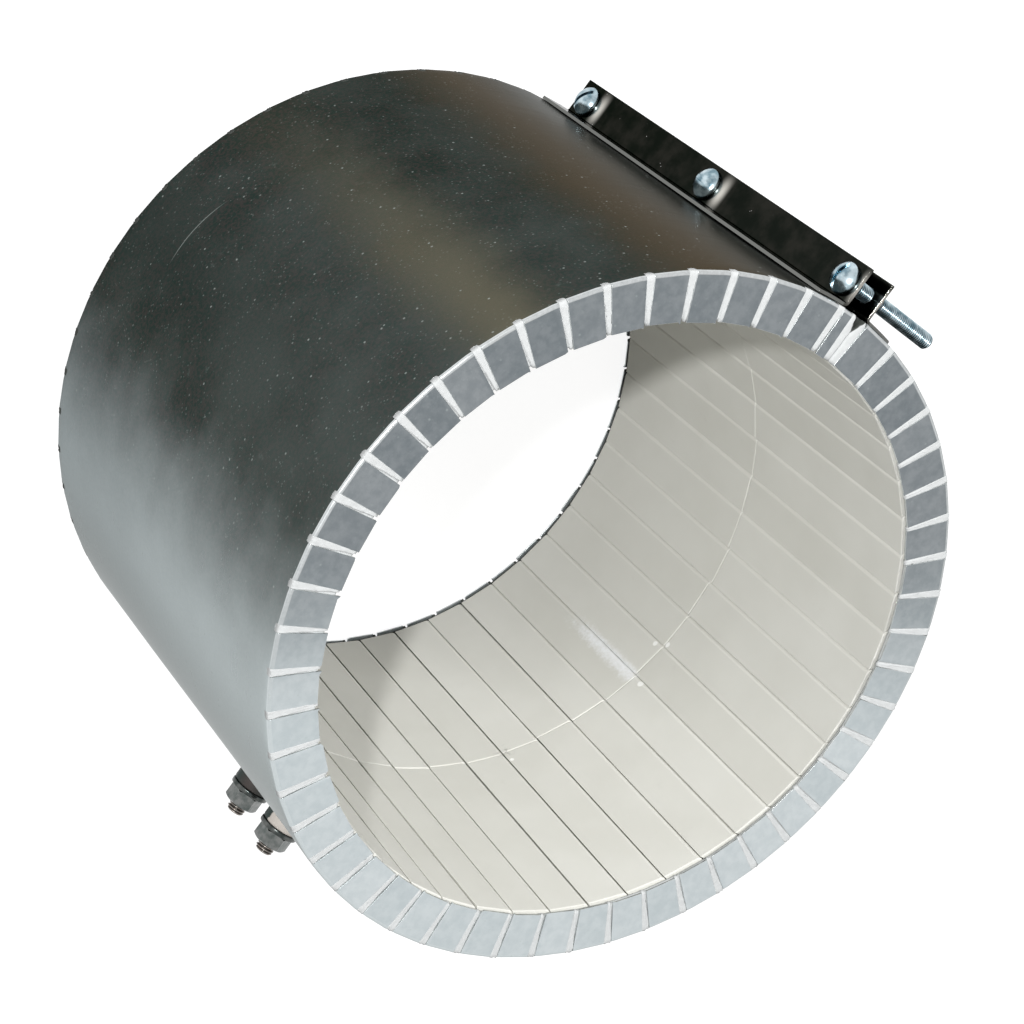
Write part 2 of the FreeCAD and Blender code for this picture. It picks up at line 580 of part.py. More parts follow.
def build_nut(name, across_flats, height, thread_radius):
    """Hexagon nut. Its own +Z points away from what it is tightened on."""
    body = new_body(name)
    face = new_sketch(body, "hexagon", "XY_Plane")
    hexagon(face, across_flats)
    circle(face, "0", "0", f"{thread_radius} + Sizes.thread_clearance", "thread")
    add_feature(body, "Pad", "blank", face, Length=height)

    # A cone at each end takes the corners off
    edge = f"({across_flats} / 2 * Sizes.nut_face_share)"
    reach = f"({across_flats} / 2 / cos(30) + {EDGE_ALLOWANCE} / 4)"
    outside = f"({reach} + {EDGE_ALLOWANCE})"
    drop = f"(({reach} - {edge}) * tan(Sizes.nut_chamfer_angle))"
    cones = new_sketch(body, "corner_cones", "XZ_Plane")
    outline(cones, [(edge, height), (reach, f"{height} - {drop}"), (reach, drop),
                    (edge, "0"), (outside, "0"), (outside, height)])
    turned_solid(body, "Groove", "corner_chamfer", cones)
    return body


def build_terminal(number, level):
    """Stud, ceramic bush, washer and nut of one terminal. Their own +Z is the band's +X."""
    outwards = Rotation(Vector(0, 0, 1), Vector(1, 0, 0))

    stud = new_body(f"terminal_stud_{number}")
    half = new_sketch(stud, "half_section", "XZ_Plane")
    tip = (f"({NUT_SEAT} + Sizes.terminal_nut_height + Sizes.stud_free_end - {STUD_INSIDE})")
    outline(half, [
        ("0", "0"), ("Sizes.stud_head_radius", "0"),
        ("Sizes.stud_head_radius", "Sizes.stud_head_height"),
        ("Sizes.stud_radius", "Sizes.stud_head_height"),
        ("Sizes.stud_radius", f"{tip} - Sizes.screw_point"),
        ("Sizes.stud_radius - Sizes.screw_point", tip), ("0", tip),
    ])
    turned_solid(stud, "Revolution", "turned_form", half)
    place(stud, STUD_INSIDE, "0", level, outwards)

    bush = new_body(f"terminal_bush_{number}")
    half = new_sketch(bush, "half_section", "XZ_Plane")
    inside = "(Sizes.stud_radius + Sizes.bush_bore_clearance)"
    seat = f"({JACKET_RADIUS} - {STUD_INSIDE} - Sizes.stud_head_height)"
    top = f"({seat} + Sizes.bush_height)"
    outline(half, [
        (inside, "0"), ("Sizes.bush_spigot_radius", "0"), ("Sizes.bush_spigot_radius", seat),
        ("Sizes.bush_radius", seat), ("Sizes.bush_radius", f"{top} - Sizes.bush_edge_bevel"),
        ("Sizes.bush_radius - Sizes.bush_edge_bevel", top), (inside, top),
    ])
    turned_solid(bush, "Revolution", "turned_form", half)
    place(bush, f"{STUD_INSIDE} + Sizes.stud_head_height", "0", level, outwards)

    washer = new_body(f"terminal_washer_{number}")
    face = new_sketch(washer, "ring", "XY_Plane")
    circle(face, "0", "0", "Sizes.washer_radius", "rim")
    circle(face, "0", "0", "Sizes.stud_radius + Sizes.washer_hole_clearance", "hole")
    add_feature(washer, "Pad", "blank", face, Length="Sizes.washer_thickness")
    place(washer, WASHER_SEAT, "0", level, outwards)

    nut = build_nut(f"terminal_nut_{number}", "Sizes.terminal_nut_flats",
                    "Sizes.terminal_nut_height", "Sizes.stud_radius")
    place(nut, NUT_SEAT, "0", level, outwards)
    return [stud, bush, washer, nut]


def build_clamp_nut(number, level):
    nut = build_nut(f"clamp_nut_{number}", "Sizes.clamp_nut_flats",
                    "Sizes.clamp_nut_height", "Sizes.screw_radius")
    corner_up = Rotation(Vector(0, 0, 1), Vector(0, 1, 0)) * Rotation(Vector(0, 0, 1), 90)
    place(nut, f"-{SCREW_AXIS}", WALL_OUTER, level, corner_up)
    return nut


tile_blank = build_tile()
nodes = [build_jacket(), build_blanket()]
nodes += build_tile_sets(tile_blank)
nodes += [build_coil()]
nodes += [build_lead_strip("lead_strip_front", False), build_lead_strip("lead_strip_rear", True)]
nodes += [build_bracket("clamp_bracket_nut_side", False),
          build_bracket("clamp_bracket_head_side", True)]
SCREW_LEVELS = [f"-{SCREW_SPACING}", "0", SCREW_SPACING]
SLOT_ANGLES = ["100", "35", "62"]
for screw, (screw_level, screw_slot) in enumerate(zip(SCREW_LEVELS, SLOT_ANGLES), start=1):
    nodes.append(build_clamp_screw(screw, screw_level, screw_slot))
    nodes.append(build_clamp_nut(screw, screw_level))
for terminal, terminal_level in enumerate(("-Sizes.terminal_spacing / 2",
                                           "Sizes.terminal_spacing / 2"), start=1):
    nodes += build_terminal(terminal, terminal_level)
doc.recompute()

for item in doc.Objects:
    if any(word in item.State for word in ("Invalid", "Error")):
        raise RuntimeError(f"{item.Name} failed: {item.State}")
os.makedirs("parts", exist_ok=True)
for node in nodes:
    if node.Shape.isNull() or not node.Shape.isValid():
        raise RuntimeError(f"{node.Label} has no valid shape")
    node.Shape.exportStep(f"parts/{node.Label}.step")
    print(node.Label, len(node.Shape.Solids), "solids", round(node.Shape.Volume, 1), "mm3")
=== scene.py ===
# %% Start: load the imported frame
import math

import bmesh
import bpy
import numpy as np
from mathutils import Matrix, Vector


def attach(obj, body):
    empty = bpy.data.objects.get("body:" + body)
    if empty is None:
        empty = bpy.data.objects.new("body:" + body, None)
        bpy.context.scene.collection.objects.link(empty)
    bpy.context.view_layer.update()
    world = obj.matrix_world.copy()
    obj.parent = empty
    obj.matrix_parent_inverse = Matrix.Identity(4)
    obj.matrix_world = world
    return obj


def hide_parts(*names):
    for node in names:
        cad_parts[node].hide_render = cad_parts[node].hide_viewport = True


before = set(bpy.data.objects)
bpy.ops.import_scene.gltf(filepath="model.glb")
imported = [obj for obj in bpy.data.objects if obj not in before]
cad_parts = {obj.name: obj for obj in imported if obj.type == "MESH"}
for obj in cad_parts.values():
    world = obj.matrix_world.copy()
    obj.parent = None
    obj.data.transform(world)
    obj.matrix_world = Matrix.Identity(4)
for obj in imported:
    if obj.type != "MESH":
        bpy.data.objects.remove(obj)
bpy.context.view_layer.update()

# %% [markdown]
# The heater is a ring of ceramic tiles, wrapped in fibre, inside a thin steel jacket. Its sizes
# are those of the CAD part. Every mesh is worked out in millimetres, so that the numbers stay
# readable, and scaled to metres once.

# %% Sizes that the pieces share
MM = 0.001
BORE = 95.0
TILE_THICKNESS = 10.0
TILE_COLUMNS = 45
TILE_PITCH = 7.92
TILE_END = 83.7
MAT_INSIDE = 105.1
MAT_OUTSIDE = 109.9
MAT_END = 85.3
JACKET = 110.6
SHEET = 0.6
HALF_LENGTH = 86.0
FOLD = 0.9
FOLD_START = HALF_LENGTH - FOLD
TAB_EDGE = 95.4
SLITS = 51
SLIT_PITCH = 6.94
SLIT_WIDTH = 2.6
SLIT_ROOT = 83.8
HALF_SLIT_ANGLE = math.degrees(SLIT_WIDTH / 2 / JACKET)
SPLIT_HALF_ANGLE = math.degrees(math.asin(3.5 / JACKET))
FIRST_SLIT = 180.0 - SPLIT_HALF_ANGLE - 6.9
SCREW_AXIS_X = -117.1
SCREW_LEVELS = (-76.5, 0.0, 76.5)
WALL_FACE = 5.5
TERMINAL_LEVELS = (-11.75, 11.75)
rng = np.random.default_rng(7)
print("jacket:", JACKET * 2, "x", HALF_LENGTH * 2, "mm, slits at each rim:", SLITS)

# %% [markdown]
# Most surfaces here are grids: rows of points, joined to the next row by four-sided faces.
# They could be modelled by hand, but a formula keeps every size exact and easy to change. One
# helper numbers the faces of a grid, and another makes an object of points and faces. It drops
# loose points, so a grid may have holes. Edges are finished by modifiers.


# %% Helpers for meshes
def grid_faces(rows, columns, close_rows=False, close_columns=False):
    """Corner numbers of the quads between a grid's points, point (i, j) being i * columns + j."""
    i, j = np.meshgrid(np.arange(rows if close_rows else rows - 1),
                       np.arange(columns if close_columns else columns - 1), indexing="ij")
    i2, j2 = (i + 1) % rows, (j + 1) % columns
    quads = np.stack([i * columns + j, i * columns + j2, i2 * columns + j2, i2 * columns + j], -1)
    return quads.reshape(-1, 4)


def polar(radius, angle, height):
    """Points from radius, angle in radians and height along Z."""
    points = np.broadcast_arrays(radius * np.cos(angle), radius * np.sin(angle), height)
    return np.stack(points, -1).reshape(-1, 3)


def capped_tube(rows, columns):
    """Faces of a tube whose rings are the rows of a grid, with both ends closed."""
    faces = grid_faces(rows, columns, close_columns=True).tolist()
    return faces + [list(range(columns))[::-1], list(range((rows - 1) * columns, rows * columns))]


def in_scene(name, data):
    """New object for a mesh, a lamp or a camera."""
    thing = bpy.data.objects.new(name, data)
    bpy.context.scene.collection.objects.link(thing)
    return thing


def make_piece(name, points_mm, faces, smooth=True):
    """Object from points in millimetres and faces, and the numbers of the points in use."""
    faces = [list(face) for face in faces]
    used = np.unique(np.concatenate(faces))
    renumber = np.full(len(points_mm), -1)
    renumber[used] = np.arange(len(used))
    mesh = bpy.data.meshes.new(name)
    mesh.from_pydata((np.asarray(points_mm)[used] * MM).tolist(), [],
                     [renumber[face].tolist() for face in faces])
    mesh.validate()
    mesh.polygons.foreach_set("use_smooth", [smooth] * len(mesh.polygons))
    return in_scene(name, mesh), used


def set_attribute(piece, name, values):
    """Number for each point, which a material can read by its name."""
    layer = piece.data.attributes.new(name, "FLOAT", "POINT")
    layer.data.foreach_set("value", np.asarray(values, dtype=np.float32))


def add_modifier(piece, name, kind, **settings):
    """Modifier with its settings."""
    modifier = piece.modifiers.new(name, kind)
    for key, value in settings.items():
        setattr(modifier, key, value)


def soften_edges(piece, width_mm, segments=2, angle=35.0):
    """Small round edge that catches the light."""
    add_modifier(piece, "soft_edges", "BEVEL", width=width_mm * MM, segments=segments,
                 limit_method="ANGLE", angle_limit=math.radians(angle), harden_normals=True)


def split_edges(piece, name, angle):
    """Crisp shading where two faces meet at more than this angle."""
    add_modifier(piece, name, "EDGE_SPLIT", split_angle=math.radians(angle))


def merge_points(piece):
    """Join points that lie on each other."""
    add_modifier(piece, "merge_points", "WELD", merge_threshold=0.001 * MM)


# %% [markdown]
# Shader maths reads best as formulas. This small class wraps a node socket, and its operators
# add Math nodes, so `a * 0.5 + b` builds the same nodes as dragging them by hand. Every other
# node comes from one helper, which takes its type, its settings and its inputs.


# %% Nodes, and numbers that vary over a surface
def plug(tree, socket, item):
    """Link an input socket to a field or an output, or give it a number or a colour."""
    if isinstance(item, Field):
        item = item.socket
    if isinstance(item, bpy.types.NodeSocket):
        tree.links.new(item, socket)
    else:
        socket.default_value = (*item, 1.0) if socket.type == "RGBA" else item


def add_node(tree, kind, inputs, **settings):
    """New shader node: its settings come first, then its inputs by name or number."""
    node = tree.nodes.new("ShaderNode" + kind)
    for name, value in settings.items():
        setattr(node, name, value)
    for key, item in inputs.items():
        plug(tree, node.inputs[key], item)
    return node


class Field:
    """A number that varies over the surface: the output socket of a node."""

    def __init__(self, tree, socket):
        self.tree, self.socket = tree, socket

    def maths(self, operation, *others, before=()):
        items = (*before, self, *others)
        node = add_node(self.tree, "Math", dict(enumerate(items)), operation=operation)
        return Field(self.tree, node.outputs[0])

    def __add__(self, other):
        return self.maths("ADD", other)

    def __sub__(self, other):
        return self.maths("SUBTRACT", other)

    def __rsub__(self, other):
        return self.maths("SUBTRACT", before=(other,))

    def __mul__(self, other):
        return self.maths("MULTIPLY", other)

    __radd__, __rmul__ = __add__, __mul__

    def absolute(self):
        return self.maths("ABSOLUTE")

    def near(self, centre, reach):
        """1 at centre, falling smoothly to 0 at reach to either side."""
        return (self - centre).absolute().step(reach, 0.0)

    def step(self, low, high):
        """0 below low, 1 above high, and a smooth ramp between them."""
        ramp = add_node(self.tree, "MapRange", {"Value": self, "From Min": low, "From Max": high},
                        interpolation_type="SMOOTHSTEP")
        return Field(self.tree, ramp.outputs["Result"])


# %% [markdown]
# A finish is a material whose look is written with such fields. It reads the place on the
# object, so a pattern sits on the metal or the ceramic and needs no picture to be unwrapped.


# %% Materials as formulas
class Finish:
    """A material whose look is written as formulas of object coordinates, in millimetres."""

    def __init__(self, name, metallic=0.0, roughness=0.5, specular=0.5):
        self.material = bpy.data.materials.new(name)
        self.material.use_nodes = True
        self.tree = self.material.node_tree
        self.shader = self.tree.nodes["Principled BSDF"]
        self.set("Metallic", metallic)
        self.set("Roughness", roughness)
        self.set("Specular IOR Level", specular)
        where = add_node(self.tree, "TexCoord", {}).outputs["Object"]
        self.place = add_node(self.tree, "VectorMath", {0: where, "Scale": 1 / MM},
                              operation="SCALE").outputs[0]
        parts = add_node(self.tree, "SeparateXYZ", {0: self.place})
        self.x, self.y, self.z = (Field(self.tree, socket) for socket in parts.outputs)

    def field(self, kind, inputs, output=0, **settings):
        """Field from an output of a new node."""
        return Field(self.tree, add_node(self.tree, kind, inputs, **settings).outputs[output])

    def azimuth(self):
        """Angle about Z in degrees, 0 to 360, with 0 at +X."""
        angle = self.y.maths("ARCTAN2", self.x) * (180.0 / math.pi)
        return (angle + 360.0).maths("MODULO", 360.0)

    def noise(self, size_mm, detail=3.0, roughness=0.5, place=None):
        """Soft random pattern from 0 to 1 with lumps of about size_mm."""
        return self.field("TexNoise", {"Vector": place or self.place, "Scale": 1.0 / size_mm,
                                       "Detail": detail, "Roughness": roughness})

    def cells(self, size_mm):
        """Distance to the nearest of many random points, about size_mm apart."""
        return self.field("TexVoronoi", {"Vector": self.place, "Scale": 1.0 / size_mm},
                          "Distance")

    def flecks(self, size_mm, reach, lumps_mm, bare):
        """Small specks, kept only where a coarser noise lets them be."""
        return (1 - self.cells(size_mm).step(*reach)) * self.noise(lumps_mm).step(*bare)

    def distance(self, x, y, z):
        """Distance in mm from a point."""
        return self.field("VectorMath", {0: self.place, 1: (x, y, z)}, "Value",
                          operation="DISTANCE")

    def spots(self, places):
        """1 in the middle of each spot, given as x, y, z and radius, and 0 outside them."""
        amount = 0.0
        for x, y, z, radius in places:
            amount = self.distance(x, y, z).near(0.0, radius).maths("MAXIMUM", amount)
        return amount

    def attribute(self, name):
        """Number that the mesh keeps under this name at each point."""
        return self.field("Attribute", {}, "Fac", attribute_name=name)

    def blend(self, factor, first, second):
        """Colour that goes from first to second as factor goes from 0 to 1."""
        mix = add_node(self.tree, "Mix", {"Factor": factor, "A": first, "B": second},
                       data_type="RGBA", clamp_factor=True)
        return mix.outputs["Result"]

    def coats(self, colour, *layers):
        """Colour under layers of (amount, colour), laid on one after the other."""
        for amount, layer in layers:
            colour = self.blend(amount, colour, layer)
        return colour

    def set(self, name, item):
        """Give a socket of the shader a number, a colour, a field or a link."""
        plug(self.tree, self.shader.inputs[name], item)

    def relief(self, height, depth_mm, strength):
        """Bump from a height field of 0 to 1, depth_mm high at 1."""
        bump = add_node(self.tree, "Bump", {"Height": height, "Distance": depth_mm * MM,
                                            "Strength": strength})
        self.set("Normal", bump.outputs[0])


def dress(piece, finish, body, replaced=()):
    """Give a piece its finish and the body it rides on."""
    piece.data.materials.clear()
    piece.data.materials.append(finish.material)
    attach(piece, body)
    if replaced:
        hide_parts(*replaced)
    print(piece.name, "wears", finish.material.name, "and rides on", body)


# %% [markdown]
# The jacket is one steel sheet. It is cut with a comb of slits along both rims, rolled round,
# and the strips between the slits are folded over the fibre as tabs. It is built the same way:
# as a flat sheet of rows and columns, with the faces of the slits left out, and each point is
# then carried to its place on the roll. A tab stays flat and keeps its width, so the slits
# narrow towards the bore. Booleans on a finished ring would leave long thin triangles, on which
# a mirror finish shows every fault.


# %% Columns of the sheet, slit by slit
COLUMN_STEP = 0.95


def sheet_columns():
    """Angle, tab angle and whether the strip after it is a slit, for each column of points."""
    slits = FIRST_SLIT - SLIT_PITCH * np.arange(SLITS)
    edges = [180.0 - SPLIT_HALF_ANGLE]
    for slit in slits:
        edges += [slit + HALF_SLIT_ANGLE, slit - HALF_SLIT_ANGLE]
    edges.append(-180.0 + SPLIT_HALF_ANGLE)
    columns = []
    for strip, (start, end) in enumerate(zip(edges, edges[1:])):
        in_slit = strip % 2 == 1
        count = 6 if in_slit else max(2, round((start - end) / COLUMN_STEP))
        columns += [(start + (end - start) * k / count, strip, in_slit) for k in range(count)]
    columns.append((edges[-1], len(edges) - 2, False))
    angle, strip, in_slit = (np.array(values) for values in zip(*columns))
    return angle, strip, in_slit, (np.array(edges[:-1]) + edges[1:]) / 2


column_angle, column_tab, column_in_slit, tab_centres = sheet_columns()
print("jacket columns:", len(column_angle), "tabs at each rim:", (len(tab_centres) + 1) // 2)


# %% Rows of the sheet, from the rear tab edge over the wall to the front tab edge
def half_profile():
    """Rows from mid-length to the front tab edge: radius, height, flatness and tab distance.

    The row at the start of the fold is the one that carries the roots of the slits.
    """
    rows = [(JACKET, z, 0.0, 0.0) for z in np.linspace(0, 81.0, 16)]
    rows += [(JACKET, SLIT_ROOT - 0.4, 0.1, 0.0)]
    for turn in np.radians((0, 22.5, 45, 67.5, 90)):
        rows.append((JACKET - FOLD * (1 - math.cos(turn)),
                     HALF_LENGTH - FOLD * (1 - math.sin(turn)), 1.0, 0.0))
    fold_line = JACKET - FOLD
    for part in (0.02, 0.1, 0.35, 0.65, 0.9, 1.0):
        rows.append((fold_line + (TAB_EDGE - fold_line) * part, HALF_LENGTH, 1.0,
                     (fold_line - TAB_EDGE) * part))
    return np.array(rows)


front_rows = half_profile()
rear_rows = front_rows[:0:-1] * np.array([1, -1, 1, 1])
rows = np.vstack([rear_rows, front_rows])
row_radius, row_level, row_flat, row_reach = rows.T
print("jacket rows:", len(rows))

# %% [markdown]
# Hand-folded tabs are never quite alike. Each gets its own small lean, length and skew, from one
# fixed seed, so every run gives the same heater. A tab never rises above the rim, and the dents
# of the wall only go inwards, so the heater keeps its size.


# %% Carry the points of the sheet to the roll
LEAN_RANGE, LENGTH_RANGE, SKEW_RANGE = (0.0, 0.02), (-0.35, 0.35), (-0.012, 0.012)
FREE_EDGE_REACH = 12.0
CORNER_INSET = 0.14
DENT = 0.22


def jacket_points():
    """Points of the rolled sheet.

    On the wall a column at angle a lies at (r cos a, r sin a). On a tab it lies on the flat
    plane of its tab, at the width w = R (a - c) to the side of the tab's middle angle c, and a
    little further in, so that the tab's corners stay on the roll. The flatness f mixes the two,
    and the lean t of a tab lowers it by reach * t. A slit's root dips by depth * sqrt(1 - u^2),
    with u from -1 to 1 across the slit.
    """
    a = np.radians(column_angle)[None, :]
    c = np.radians(tab_centres[column_tab])[None, :]
    r, z, f, reach = (column[:, None] for column in (row_radius, row_level, row_flat, row_reach))
    tables = [rng.uniform(*limits, (2, len(tab_centres)))
              for limits in (LEAN_RANGE, LENGTH_RANGE, SKEW_RANGE)]
    t, shift, skew = (np.where(z > 0, front[column_tab], rear[column_tab])
                      for rear, front in tables)
    w = JACKET * (a - c) + skew * reach
    radius = r + shift * (reach > FREE_EDGE_REACH)
    round_x, round_y = radius * np.cos(a), radius * np.sin(a)
    flat_x = (radius - CORNER_INSET) * np.cos(c) - w * np.sin(c)
    flat_y = (radius - CORNER_INSET) * np.sin(c) + w * np.cos(c)
    dent = DENT * np.sin(2.0 * a + 0.021 * z + 0.6) * np.sin(0.017 * z + 3.0 * a) - DENT
    dent = dent * (1 - f) * np.clip((84 - np.abs(z)) / 20, 0, 1)
    x = (1 - f) * round_x + f * flat_x + dent * np.cos(a)
    y = (1 - f) * round_y + f * flat_y + dent * np.sin(a)
    u = np.clip((column_angle - tab_centres[column_tab]) / HALF_SLIT_ANGLE, -1, 1)
    dip = (FOLD_START - SLIT_ROOT) * np.sqrt(1 - u ** 2) * column_in_slit
    at_fold_start = np.abs(np.abs(z) - FOLD_START) < 1e-9
    level = z - np.sign(z) * (reach * t + at_fold_start * dip)
    return np.stack([x, y, level], -1).reshape(-1, 3)


all_quads = grid_faces(len(rows), len(column_angle))
quad_row, quad_column = np.divmod(all_quads[:, 0], len(column_angle))
past_root = np.abs(row_level) > FOLD_START - 0.01
open_quads = column_in_slit[quad_column] & past_root[quad_row] & past_root[quad_row + 1]
jacket, used_points = make_piece("jacket_sheet", jacket_points(), all_quads[~open_quads])
print("jacket faces:", len(jacket.data.polygons))

# %% [markdown]
# The material has to know a tab from the wall, and one tab from the next. Attributes on the
# points are the simplest way to hand a number from the mesh to a shader. Then the sheet gets its
# thickness inwards, with a second material on the cut edges.

# %% Marks for the material, and the thickness of the sheet
point_row, point_column = np.divmod(used_points, len(column_angle))
tab_tone = rng.uniform(-1, 1, len(tab_centres) * 2)
tone_number = column_tab[point_column] * 2 + (row_level[point_row] > 0)
set_attribute(jacket, "tab", np.clip((row_reach[point_row] - 0.1) / 0.15, 0, 1))
set_attribute(jacket, "tone", tab_tone[tone_number])
add_modifier(jacket, "sheet_thickness", "SOLIDIFY", thickness=SHEET * MM, offset=1.0,
             material_offset_rim=1)
soften_edges(jacket, 0.08, segments=1, angle=50)
add_modifier(jacket, "flat_tabs", "WEIGHTED_NORMAL", weight=100)
print("shades of the tabs:", tab_tone.min().round(2), "to", tab_tone.max().round(2))

# %% [markdown]
# Each tile is a bar of steatite. One side is round and rolls in the hollow side of its
# neighbour, so the band can open without gaps. The outline is drawn once, its corners are
# eased, and it is stacked along the bore. An Array modifier would repeat one tile exactly; here
# each tile gets a tiny turn and shift of its own.


# %% Outline of a tile
def arc_points(start, end, radius, bulge, count):
    """Points on an arc from start to end; bulge is +1 or -1 for the side the arc swells to.

    With chord length 2h the centre lies sqrt(radius^2 - h^2) from the chord's middle.
    """
    start, end = np.array(start, float), np.array(end, float)
    chord = end - start
    half = np.linalg.norm(chord) / 2
    normal = np.array([-chord[1], chord[0]]) / (2 * half)
    centre = (start + end) / 2 - bulge * normal * math.sqrt(radius ** 2 - half ** 2)
    first = math.atan2(*(start - centre)[::-1])
    last = math.atan2(*(end - centre)[::-1])
    turn = (last - first + math.pi) % (2 * math.pi) - math.pi
    angles = first + turn * np.linspace(0, 1, count)
    return centre + radius * np.stack([np.cos(angles), np.sin(angles)], -1)


def eased_outline(sides, cuts, steps):
    """Closed outline of sides that meet at corners, each corner rounded over cuts[k]."""
    trimmed = []
    for side, (before, after) in zip(sides, zip(cuts, np.roll(cuts, -1))):
        length = np.concatenate([[0], np.cumsum(np.linalg.norm(np.diff(side, axis=0), axis=1))])
        places = np.linspace(before, length[-1] - after, len(side))
        trimmed.append(np.stack([np.interp(places, length, side[:, k]) for k in (0, 1)], -1))
    points = []
    for k, side in enumerate(trimmed):
        following = trimmed[(k + 1) % len(trimmed)]
        corner = sides[k][-1]
        points.append(side)
        s = np.linspace(0, 1, steps + 2)[1:-1, None]
        points.append((1 - s) ** 2 * side[-1] + 2 * s * (1 - s) * corner + s ** 2 * following[0])
    return np.vstack(points)


JOINT_GAP = 0.24
JOINT_RADIUS = 9.0
side_angle = math.radians(TILE_PITCH / 2) - JOINT_GAP / 2 / BORE
inner_corner = BORE * np.array([1.0, math.tan(side_angle)])
outer_corner = (BORE + TILE_THICKNESS) * np.array([math.cos(side_angle), math.sin(side_angle)])
mirror = np.array([1, -1])
tile_sides = [
    np.linspace(inner_corner * mirror, inner_corner, 4),
    arc_points(inner_corner, outer_corner, JOINT_RADIUS, 1, 9),
    np.linspace(outer_corner, outer_corner * mirror, 2),
    arc_points(outer_corner * mirror, inner_corner * mirror, JOINT_RADIUS, -1, 9),
]
tile_outline = eased_outline(tile_sides, np.array([0.22, 1.15, 0.4, 0.4]), steps=6)
print("points around a tile:", len(tile_outline))


# %% Stack and place all the tiles
TWIST, LIFT, SLIDE, TILT = 0.0035, 0.07, 0.04, 0.0012
JOINT_SHIFT = 0.9


def tile_lining():
    """Points, faces and a tone for every tile; ends are drawn in to round them."""
    middle = BORE + TILE_THICKNESS / 2
    length = TILE_END - 0.15
    inset = [0.45, 0.18, 0.05, 0.0, 0.0, 0.0, 0.0, 0.05, 0.18, 0.45]
    along = [0.0, 0.07, 0.25, 0.5, length * 0.35, length * 0.65, length - 0.5,
             length - 0.25, length - 0.07, length]
    outwards = tile_outline - [middle, 0.0]
    outwards /= np.linalg.norm(outwards, axis=1)[:, None]
    block = np.vstack([np.column_stack([tile_outline - outwards * e, np.full(len(outwards), z)])
                       for e, z in zip(inset, along)])
    faces = capped_tube(len(inset), len(outwards))
    points, all_faces, tones = [], [], []
    for column in range(TILE_COLUMNS):
        angle = math.radians((column - (TILE_COLUMNS - 1) / 2) * TILE_PITCH)
        joint = rng.uniform(-JOINT_SHIFT, JOINT_SHIFT)
        for sign in (-1, 1):
            twist, lift, slide, tilt = (rng.normal(0, s) for s in (TWIST, LIFT, SLIDE, TILT))
            x, y, z = block.T
            x = x - middle
            x, y = x - twist * y + middle + abs(lift), y + twist * x + slide
            y = y + tilt * (z - length / 2)
            z = sign * (z + 0.04) + joint * (1 - z / length)
            start = len(points) * len(block)
            points.append(np.stack([x * math.cos(angle) - y * math.sin(angle),
                                    x * math.sin(angle) + y * math.cos(angle), z], -1))
            all_faces += [[start + k for k in face[::sign]] for face in faces]
            tones.append(np.full(len(block), rng.uniform(-1, 1)))
    return np.vstack(points), all_faces, np.concatenate(tones)


tile_points, tile_faces, tile_tones = tile_lining()
tiles, _ = make_piece("tile_lining", tile_points, tile_faces)
set_attribute(tiles, "tone", tile_tones)
# Points of the eased lip beside each joint, which the tile material lights with a painted
# highlight.
lip = np.isin(np.arange(len(tile_outline)), np.arange(4, 10))
set_attribute(tiles, "lip", np.tile(lip, len(tile_points) // len(lip)))
split_edges(tiles, "sharp_ends", 50)
add_modifier(tiles, "flat_faces", "WEIGHTED_NORMAL", weight=100)
print("tiles:", TILE_COLUMNS * 2, "faces:", len(tiles.data.polygons))

# %% [markdown]
# The fibre mat fills the space behind the tiles and is folded over their ends, under the tabs.
# What shows is a white strip in every slit and in the split. Real fibres would need millions of
# hairs, so the mat is a grid with its columns gathered at the slits, where it swells until it
# is level with the tabs. The bump of its material makes the fluff.


# %% Columns of the mat, gathered at the slits and at the split
def slit_half_width(radius):
    """Half the width of a slit between flat tabs: w = W / 2 - (R - r) tan(pitch / 2)."""
    narrowing = math.tan(math.radians(SLIT_PITCH / 2)) * (JACKET - np.maximum(radius, TAB_EDGE))
    return SLIT_WIDTH / 2 - narrowing


def mat_columns():
    """Middle angle, place across the slit, side, distance from the split and swell."""
    places = (1.8, 1.3, 0.96, 0.82, 0.6, 0.2, -0.2, -0.6, -0.82, -0.96, -1.3, -1.8)
    split = ((0.0, 0.25), (0.35, 0.7), (0.9, 1.0), (1.6, 0.9), (2.3, 1.0), (3.0, 0.75),
             (3.5, 0.35), (4.4, 0.0))
    columns = [(180.0, 0.0, -1, distance, swell) for distance, swell in split]
    for slit in FIRST_SLIT - SLIT_PITCH * np.arange(SLITS):
        columns += [(slit, place, 0, 0.0, float(abs(place) < 1.1)) for place in places]
    columns += [(-180.0, 0.0, 1, distance, swell) for distance, swell in split[::-1]]
    return np.array(columns)


def mat_section():
    """Section points of the mat: radius, height, and how far they swell outwards and upwards."""
    front = [(96.3, TILE_END + 0.1, -0.2, 0), (96.0, 84.6, -0.5, 0.2), (96.2, 85.1, -0.6, 0.4),
             (96.9, MAT_END, -0.3, 0.45)]
    front += [(radius, MAT_END, 0.0, 0.5) for radius in np.linspace(98.0, 107.8, 15)]
    front += [(108.7, 85.25, 0.2, 0.65), (109.3, 85.1, 0.75, 0.75), (109.65, 84.7, 0.8, 0.95),
              (109.8, 84.2, 0.75, 0.85), (109.85, 83.7, 0.7, 0.2), (MAT_OUTSIDE, 82.9, 0, 0)]
    wall = [(MAT_OUTSIDE, z, 0, 0) for z in (50.0, 17.0, -17.0, -50.0)]
    rear = np.array(front[::-1]) * np.array([1, -1, 1, -1])
    inside = [(MAT_INSIDE, -TILE_END - 0.1, 0, 0), (MAT_INSIDE, TILE_END + 0.1, 0, 0)]
    return np.vstack([front, wall, rear, inside])


columns, section = mat_columns(), mat_section()
print("columns of the mat:", len(columns), "points around it:", len(section))


# %% Fibre mat
ROUGH_SWELL, ROUGH_SIDE, ROUGH_TOP = 0.08, 0.05, 0.03
IN_SIGHT = 0.05


